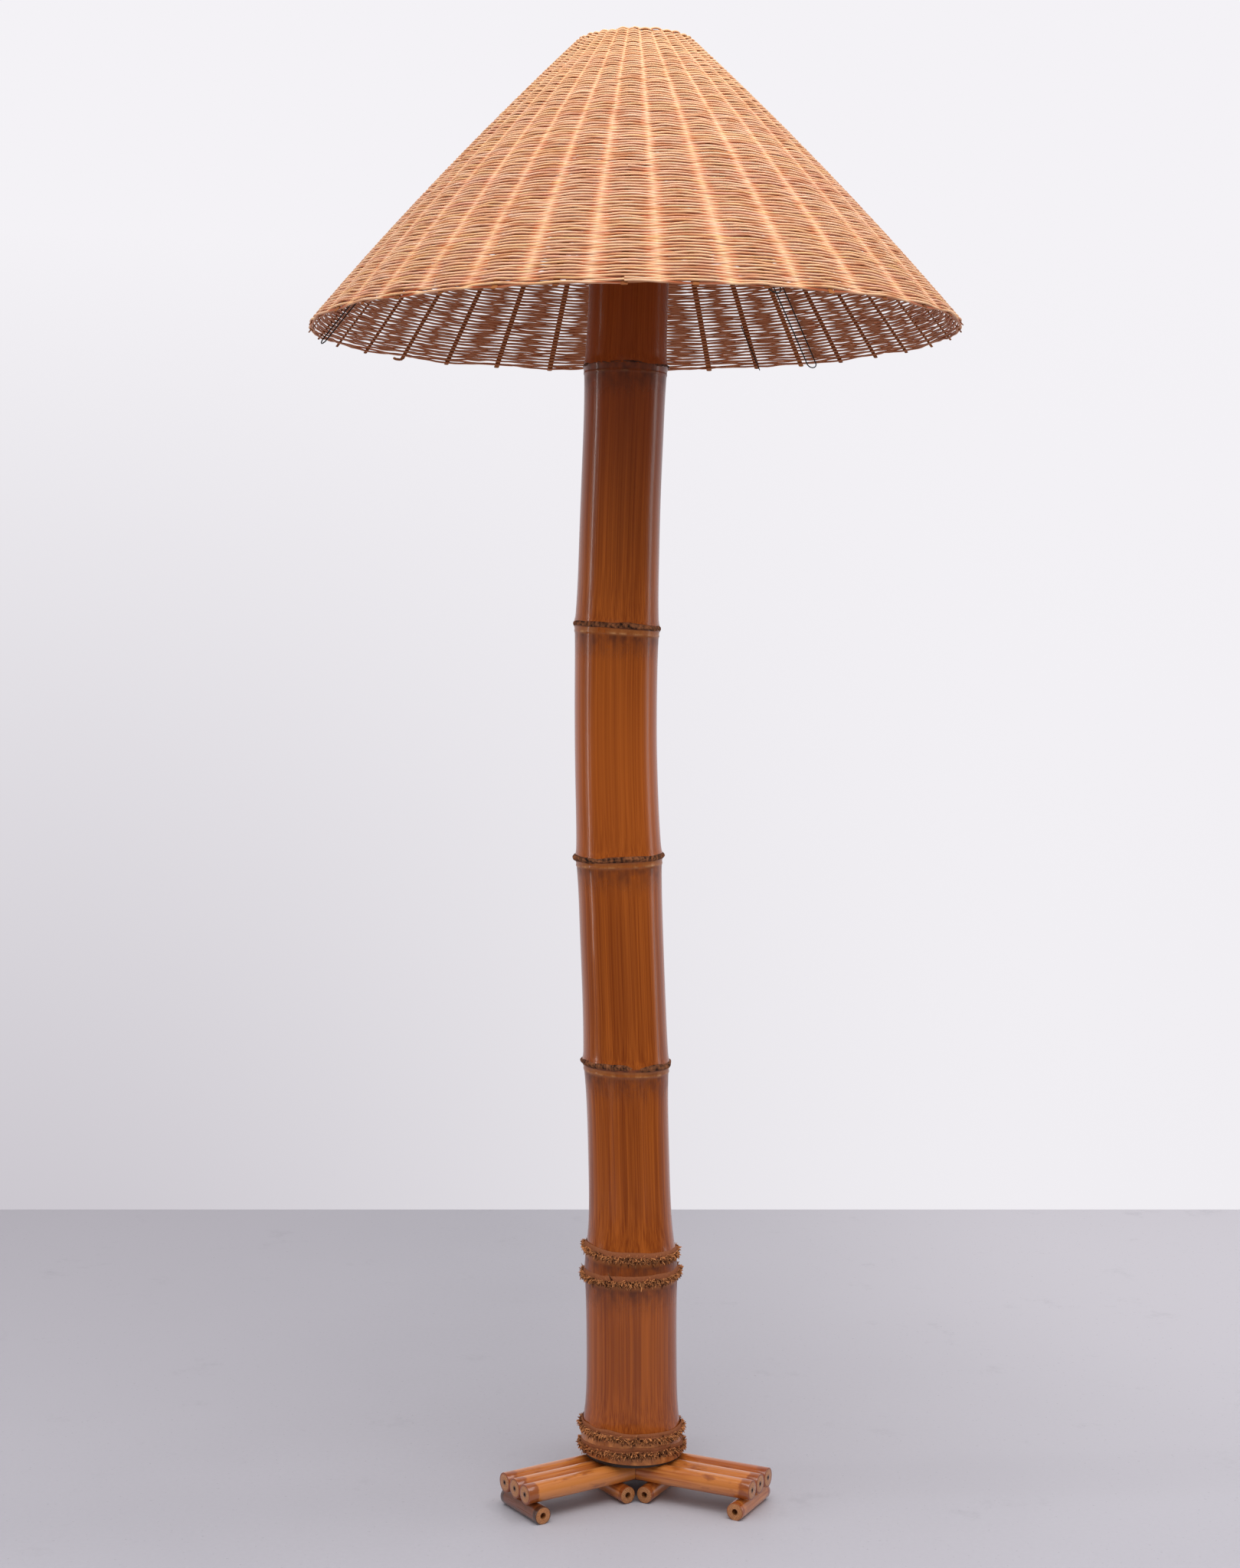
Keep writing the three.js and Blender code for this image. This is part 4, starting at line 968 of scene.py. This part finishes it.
def base_canes(tan, brown):
    along_arm, across_arm = (Matrix.Rotation(math.pi / 2, 4, axis) for axis in "YX")
    steep, shallow = math.sin(math.pi / 3), math.cos(math.pi / 3)
    mitres = [((MITRE_SETBACK, 0, 0), (-steep, side * shallow, 0)) for side in (1, -1)]
    floor_cut = [((0, 0, 0), (0, 0, -1))]
    feet = (
        ("outer", OUTER_FOOT_DIAMETER / 2, OUTER_FOOT_REACH, "dark_cane", 9),
        ("inner", INNER_FOOT_DIAMETER / 2, INNER_FOOT_REACH, "lacquered_cane", 14),
    )
    for arm, side in enumerate(ARM_NAMES):
        radius = CANE_DIAMETER / 2
        for number in range(3):
            bench = cane(ARM_REACH, radius, PITH_HOLE_DIAMETER / 2, PITH_HOLE_DEPTH, holed_ends=1)
            centre = (ARM_REACH / 2, (number - 1) * CANE_PITCH, arm_height)
            seed = 10 * arm + number
            piece = laid_cane(bench, radius, ARM_REACH, along_arm, centre, mitres, seed)
            place_in_base(piece, arm, tan, "lacquered_cane", f"{side}_arm_cane_{number + 1}")
        for kind, radius, reach, slot, foot_seed in feet:
            bench = cane(FOOT_LENGTH, radius, FOOT_BORE_DIAMETER / 2, FOOT_BORE_DEPTH, holed_ends=2)
            centre = (reach, 0, foot_height - radius)
            seed = 10 * arm + foot_seed
            piece = laid_cane(bench, radius, FOOT_LENGTH, across_arm, centre, floor_cut, seed)
            finish = brown if kind == "outer" and side == "left" else tan
            place_in_base(piece, arm, finish, slot, f"{side}_{kind}_foot_cane")


# Fittings, each finished by its slot: two colours, roughness, and metallic if it is

FITTING_LOOKS = {
    "steel": ((120, 120, 124), (160, 160, 162), 0.3, 1.0),
    "phenolic": ((24, 22, 21), (34, 31, 29), 0.32),
    "brass": ((168, 132, 70), (200, 164, 96), 0.25, 1.0),
    "porcelain": ((226, 222, 210), (238, 234, 224), 0.2),
    "opal_glass": ((240, 238, 232), (248, 246, 240), 0.12),
    "dark_wood": ((34, 22, 16), (52, 36, 26), 0.45),
}
made = {slot: plain(slot, *look) for slot, look in FITTING_LOOKS.items()}


def extent(node):
    """Half the width of a node and its lowest and highest level."""
    low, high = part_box(node)
    return (high.x - low.x) / 2, low.z, high.z


def tube_outline(bore, radius, low, high):
    """The outline of a plain tube, or of a solid disc where the bore is 0."""
    return [(bore, low), (radius, low), (radius, high), (bore, high)]


def fitted(node, outline, body, slot, sides=64, ring=False, round_edges=0.0, shift=0.0):
    """A turned piece in the place of a CAD node."""
    bench = spun(outline, sides, ring)
    if round_edges:
        softened(bench, round_edges)
    bmesh.ops.translate(bench, vec=(shift, 0, 0), verts=bench.verts[:])
    Piece(bench).fit(f"{node}_dressed", made[slot], body, slot, node)


def disc_and_cap():
    outline = tube_outline(0, *extent("base_disc"))
    fitted("base_disc", outline, "stand", "dark_wood", 96, round_edges=0.0008, shift=BASE_SHIFT)
    radius, low, high = extent("trunk_cap")
    spigot, seat = radius - 0.01, trunk_high + FITTING_GAP
    outline = [(0, low), (spigot, low), (spigot, seat), (radius, seat), (radius, high), (0, high)]
    drift = trunk_drift(trunk_high)
    fitted("trunk_cap", outline, "stand", "dark_wood", 80, round_edges=0.0012, shift=drift)


def lamp_holder():
    radius, low, high = extent("stem_tube")
    outline = tube_outline(radius - 0.0016, radius, low, high)
    fitted("stem_tube", outline, "stand", "steel", 32, ring=True, round_edges=0.0003)
    radius, low, high = extent("holder_cap")
    hole, wall, dome = 0.0053, 0.003, 0.005
    outside = [(hole, low), (radius - dome, low), (radius, low + dome), (radius, high)]
    inside = [(radius - wall, high), (radius - wall, low + dome), (radius - dome, low + wall)]
    outline = [*outside, *inside, (hole, low + wall)]
    fitted("holder_cap", outline, "stand", "phenolic", ring=True, round_edges=0.0008)
    collar, low, high = extent("holder_shell")
    foot, side, bore, flange = 0.021, 0.0198, 0.0154, 0.003
    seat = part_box("shade_hub_ring")[0].z - FITTING_GAP
    foot_part = [(bore, low), (foot, low), (foot, low + 0.004), (side, low + 0.0044)]
    collar_part = [(side, seat - 2 * flange), (collar, seat - flange), (collar, seat), (side, seat)]
    outline = [*foot_part, *collar_part, (side, high), (bore, high)]
    fitted("holder_shell", outline, "stand", "phenolic", ring=True, round_edges=0.0003)
    radius, low, high = extent("thread_sleeve")
    outline = tube_outline(radius - 0.001, radius, low, high)
    fitted("thread_sleeve", outline, "stand", "brass", ring=True, round_edges=0.0002)
    outline = tube_outline(0, *extent("contact_insert"))
    fitted("contact_insert", outline, "stand", "porcelain", round_edges=0.001)


def bulb():
    radius, low, high = extent("bulb_cap")
    turns = np.linspace(0, 10 * math.pi, 49)
    depth = 0.00045 * (1 - np.cos(turns))
    threads = zip(radius - depth, np.linspace(low + 0.0025, high - 0.002, len(turns)))
    contact = [(0, low), (0.0045, low), (0.0046, low + 0.002)]
    outline = [*contact, *threads, (radius - 0.0004, high), (0, high)]
    fitted("bulb_cap", outline, "bulb", "brass")
    radius, low, high = extent("bulb_glass")
    neck = 0.013
    swell = np.array(PEAR_SWELL_SHARES) * (radius - neck)
    outline = zip(neck + swell, low + (high - low) * np.array(PEAR_HEIGHT_SHARES))
    fitted("bulb_glass", [(0, low), *outline, (0, high)], "bulb", "opal_glass")


def shade_frame():
    hub_radius, hub_low, hub_high = extent("shade_hub_ring")
    outline = tube_outline(HUB_BORE, hub_radius, hub_low, hub_high)
    fitted("shade_hub_ring", outline, "shade", "steel", ring=True, round_edges=0.0004)
    radius, low, high = extent("shade_top_ring")
    half = (high - low) / 2
    around = np.arange(12) / 12 * FULL_TURN
    outline = [radius - half + half * np.cos(around), low + half + half * np.sin(around)]
    fitted("shade_top_ring", np.stack(outline, -1), "shade", "steel", 96, ring=True)
    start = np.array([hub_radius + FITTING_GAP, hub_low + 0.002])
    end = np.array([radius - half, low - FITTING_GAP])
    bend = np.array([(start[0] + end[0]) / 2, start[1]])
    rise = (end - bend) / np.linalg.norm(end - bend)
    t = np.linspace(0, 1, 9)[:, None]
    before, after = bend - np.array([SPIDER_ELBOW, 0]), bend + rise * SPIDER_ELBOW
    elbow = before * (1 - t) ** 2 + 2 * bend * t * (1 - t) + after * t**2
    side = np.concatenate([[start], elbow, [end]])
    for arm in range(FRAME_ARMS):
        path = around_shade(frame_azimuth(arm), side[:, 0], side[:, 1])
        spider_arm = wire(path, SPIDER_WIRE, 12)
        node = f"spider_arm_{arm + 1}"
        spider_arm.fit(f"{node}_dressed", made["steel"], "shade", "steel", node)
    node = "shade_ring_nut"
    radius, low, high = extent(node)
    outline = tube_outline(HUB_BORE, radius, low, high)
    piece = Piece(softened(spun(outline, 8 * NUT_KNURLS, ring=True), 0.0008))
    angle = np.arctan2(piece.points[:, 1], piece.points[:, 0])
    outside = np.hypot(piece.points[:, 0], piece.points[:, 1]) > radius - 0.002
    knurl = 1 - NUT_KNURL_SHARE * (0.5 - 0.5 * np.cos(NUT_KNURLS * angle)) ** 2 * outside
    piece.points[:, :2] *= knurl[:, None]
    piece.fit(f"{node}_dressed", made["phenolic"], "ring_nut", "phenolic", node)


def refinish(slot, *nodes):
    """A procedural finish on CAD nodes that keep their own shape."""
    for node in nodes:
        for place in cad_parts[node].material_slots:
            place.material = made[slot]


# The lamp

tan_cane = lacquered_cane("lacquered_cane", (136, 60, 22), (170, 84, 28), (214, 132, 62))
brown_cane = lacquered_cane("dark_cane", (44, 20, 10), (88, 42, 20), (124, 66, 32))
black_wire = plain("black_wire", (34, 30, 27), (52, 46, 42), 0.42, metallic=0.4)

shade_weave(woven_cane())
stake_cane = fibre("stake_cane", (134, 76, 38), (184, 118, 64))
shade_stakes(stake_cane)
rim_details(black_wire, stake_cane)
shade_hairpins(black_wire)
trunk_surface(bamboo())
trunk_ridges(
    rough=fibre("joint_ridges", (44, 22, 12), (172, 106, 64)),
    dark=fibre("top_ridge", (30, 14, 8), (112, 62, 36)),
)
root_rings(
    ledge_finish=fibre("root_ledge", (104, 54, 30), (174, 106, 66)),
    fringe_finish=fibre("root_nubs", (62, 28, 14), (236, 158, 98)),
)
base_canes(tan_cane, brown_cane)
disc_and_cap()
lamp_holder()
bulb()
shade_frame()
refinish("steel", "rear_base_screw", "left_base_screw", "right_base_screw", "stem_nut")
refinish("phenolic", "cord_outlet")

# Floor, light and camera


def floor_slab():
    surface = Surface("floor_paint")
    place = surface.place()
    broad = place.noise(1.3, detail=3.0)
    fine = place.noise(160)
    scuffs = place.noise(7.0, detail=6.0, roughness=0.75)
    specks = place.noise(230, detail=1.0).step(0.7, 0.76)
    across, away = (place.axis(axis) for axis in "XY")
    far = away.step(-0.8, 1.4)
    colour = (broad * 0.7 + fine * 0.3).step(0.3, 0.7).mixed((188, 186, 193), (195, 193, 200))
    # Painted light: the floor lighter towards the back, most on the right
    colour = (far * across.step(-0.3, 0.8)).mixed(colour, (218, 215, 221))
    colour = (far * (1.0 - across.step(-0.9, -0.1))).mixed(colour, (192, 189, 196))
    marked = scuffs.step(0.58, 0.72) * 0.16 + specks * 0.3
    colour = marked.mixed(colour, (140, 138, 146))
    material = surface.set(
        base_color=colour,
        roughness=0.55 + fine * 0.1,
        specular_ior_level=0.3,
        normal=(fine + scuffs).bump(0.0008, 0.25),
    )
    bench = bmesh.new()
    bmesh.ops.create_grid(bench, x_segments=2, y_segments=2, size=FLOOR_HALF)
    mesh = bpy.data.meshes.new("floor")
    bench.to_mesh(mesh)
    bench.free()
    mesh.materials.append(material)
    slab = placed("floor", mesh)


def area_light(name, place, target, size, power):
    data = bpy.data.lights.new(name, "AREA")
    data.shape = "RECTANGLE"
    data.size, data.size_y = size
    data.energy = power
    light = placed(name, data)
    light.location = place
    light.rotation_euler = (Vector(target) - Vector(place)).to_track_quat("-Z", "Y").to_euler()


def studio():
    area_light("overhead", (0.3, -0.9, 3.4), (0, 0, 0.6), (3.4, 3.0), 92)
    area_light("left_strip", (-2.9, -0.25, 1.2), (0, 0, 1.0), (0.2, 2.1), 11)
    area_light("right_panel", (2.9, 0.5, 1.1), (0, 0, 0.9), (0.5, 1.9), 8)
    world = bpy.data.worlds.new("studio")
    bpy.context.scene.world = world
    world.use_nodes = True
    room = Nodes(world.node_tree)

    def ray(kind):
        return room.node("ShaderNodeLightPath", output=f"Is {kind} Ray")

    def glow(colour, strength=1.0):
        return room.node("ShaderNodeBackground", {"Color": rgba(colour), "Strength": strength})

    heading = room.node("ShaderNodeTexCoord", output="Generated")
    across, back, up = (heading.axis(axis) for axis in "XYZ")
    # Painted shade on the backdrop: darker low down and to the left
    dim = ((0.17 - up) * 2.5).clamped() * (1.0 - 0.9 * across.step(-0.3, 0.2))
    wall = glow(dim.mixed((244, 242, 246), (202, 198, 205)))
    reflected = glow(back.step(0.05, 0.75).mixed((88, 80, 80), (226, 222, 227)))
    ambient = glow((228, 226, 230), 0.62)
    mirrored = ray("Glossy") + ray("Transmission")
    lit = room.node("ShaderNodeMixShader", {0: mirrored, 1: ambient, 2: reflected})
    shown = room.node("ShaderNodeMixShader", {0: ray("Camera"), 1: lit, 2: wall})
    world.node_tree.links.new(shown.socket, world.node_tree.nodes["World Output"].inputs["Surface"])


def photograph_camera():
    data = bpy.data.cameras.new("camera")
    data.lens = CAMERA_LENS
    data.shift_y = (HORIZON_ROW - IMAGE_HEIGHT / 2) / IMAGE_HEIGHT
    camera = placed("camera", data)
    camera.location = CAMERA_PLACE
    camera.rotation_euler = (math.pi / 2, 0, 0)
    bpy.context.scene.camera = camera


floor_slab()
studio()
photograph_camera()
bpy.context.scene.view_settings.view_transform = "Standard"
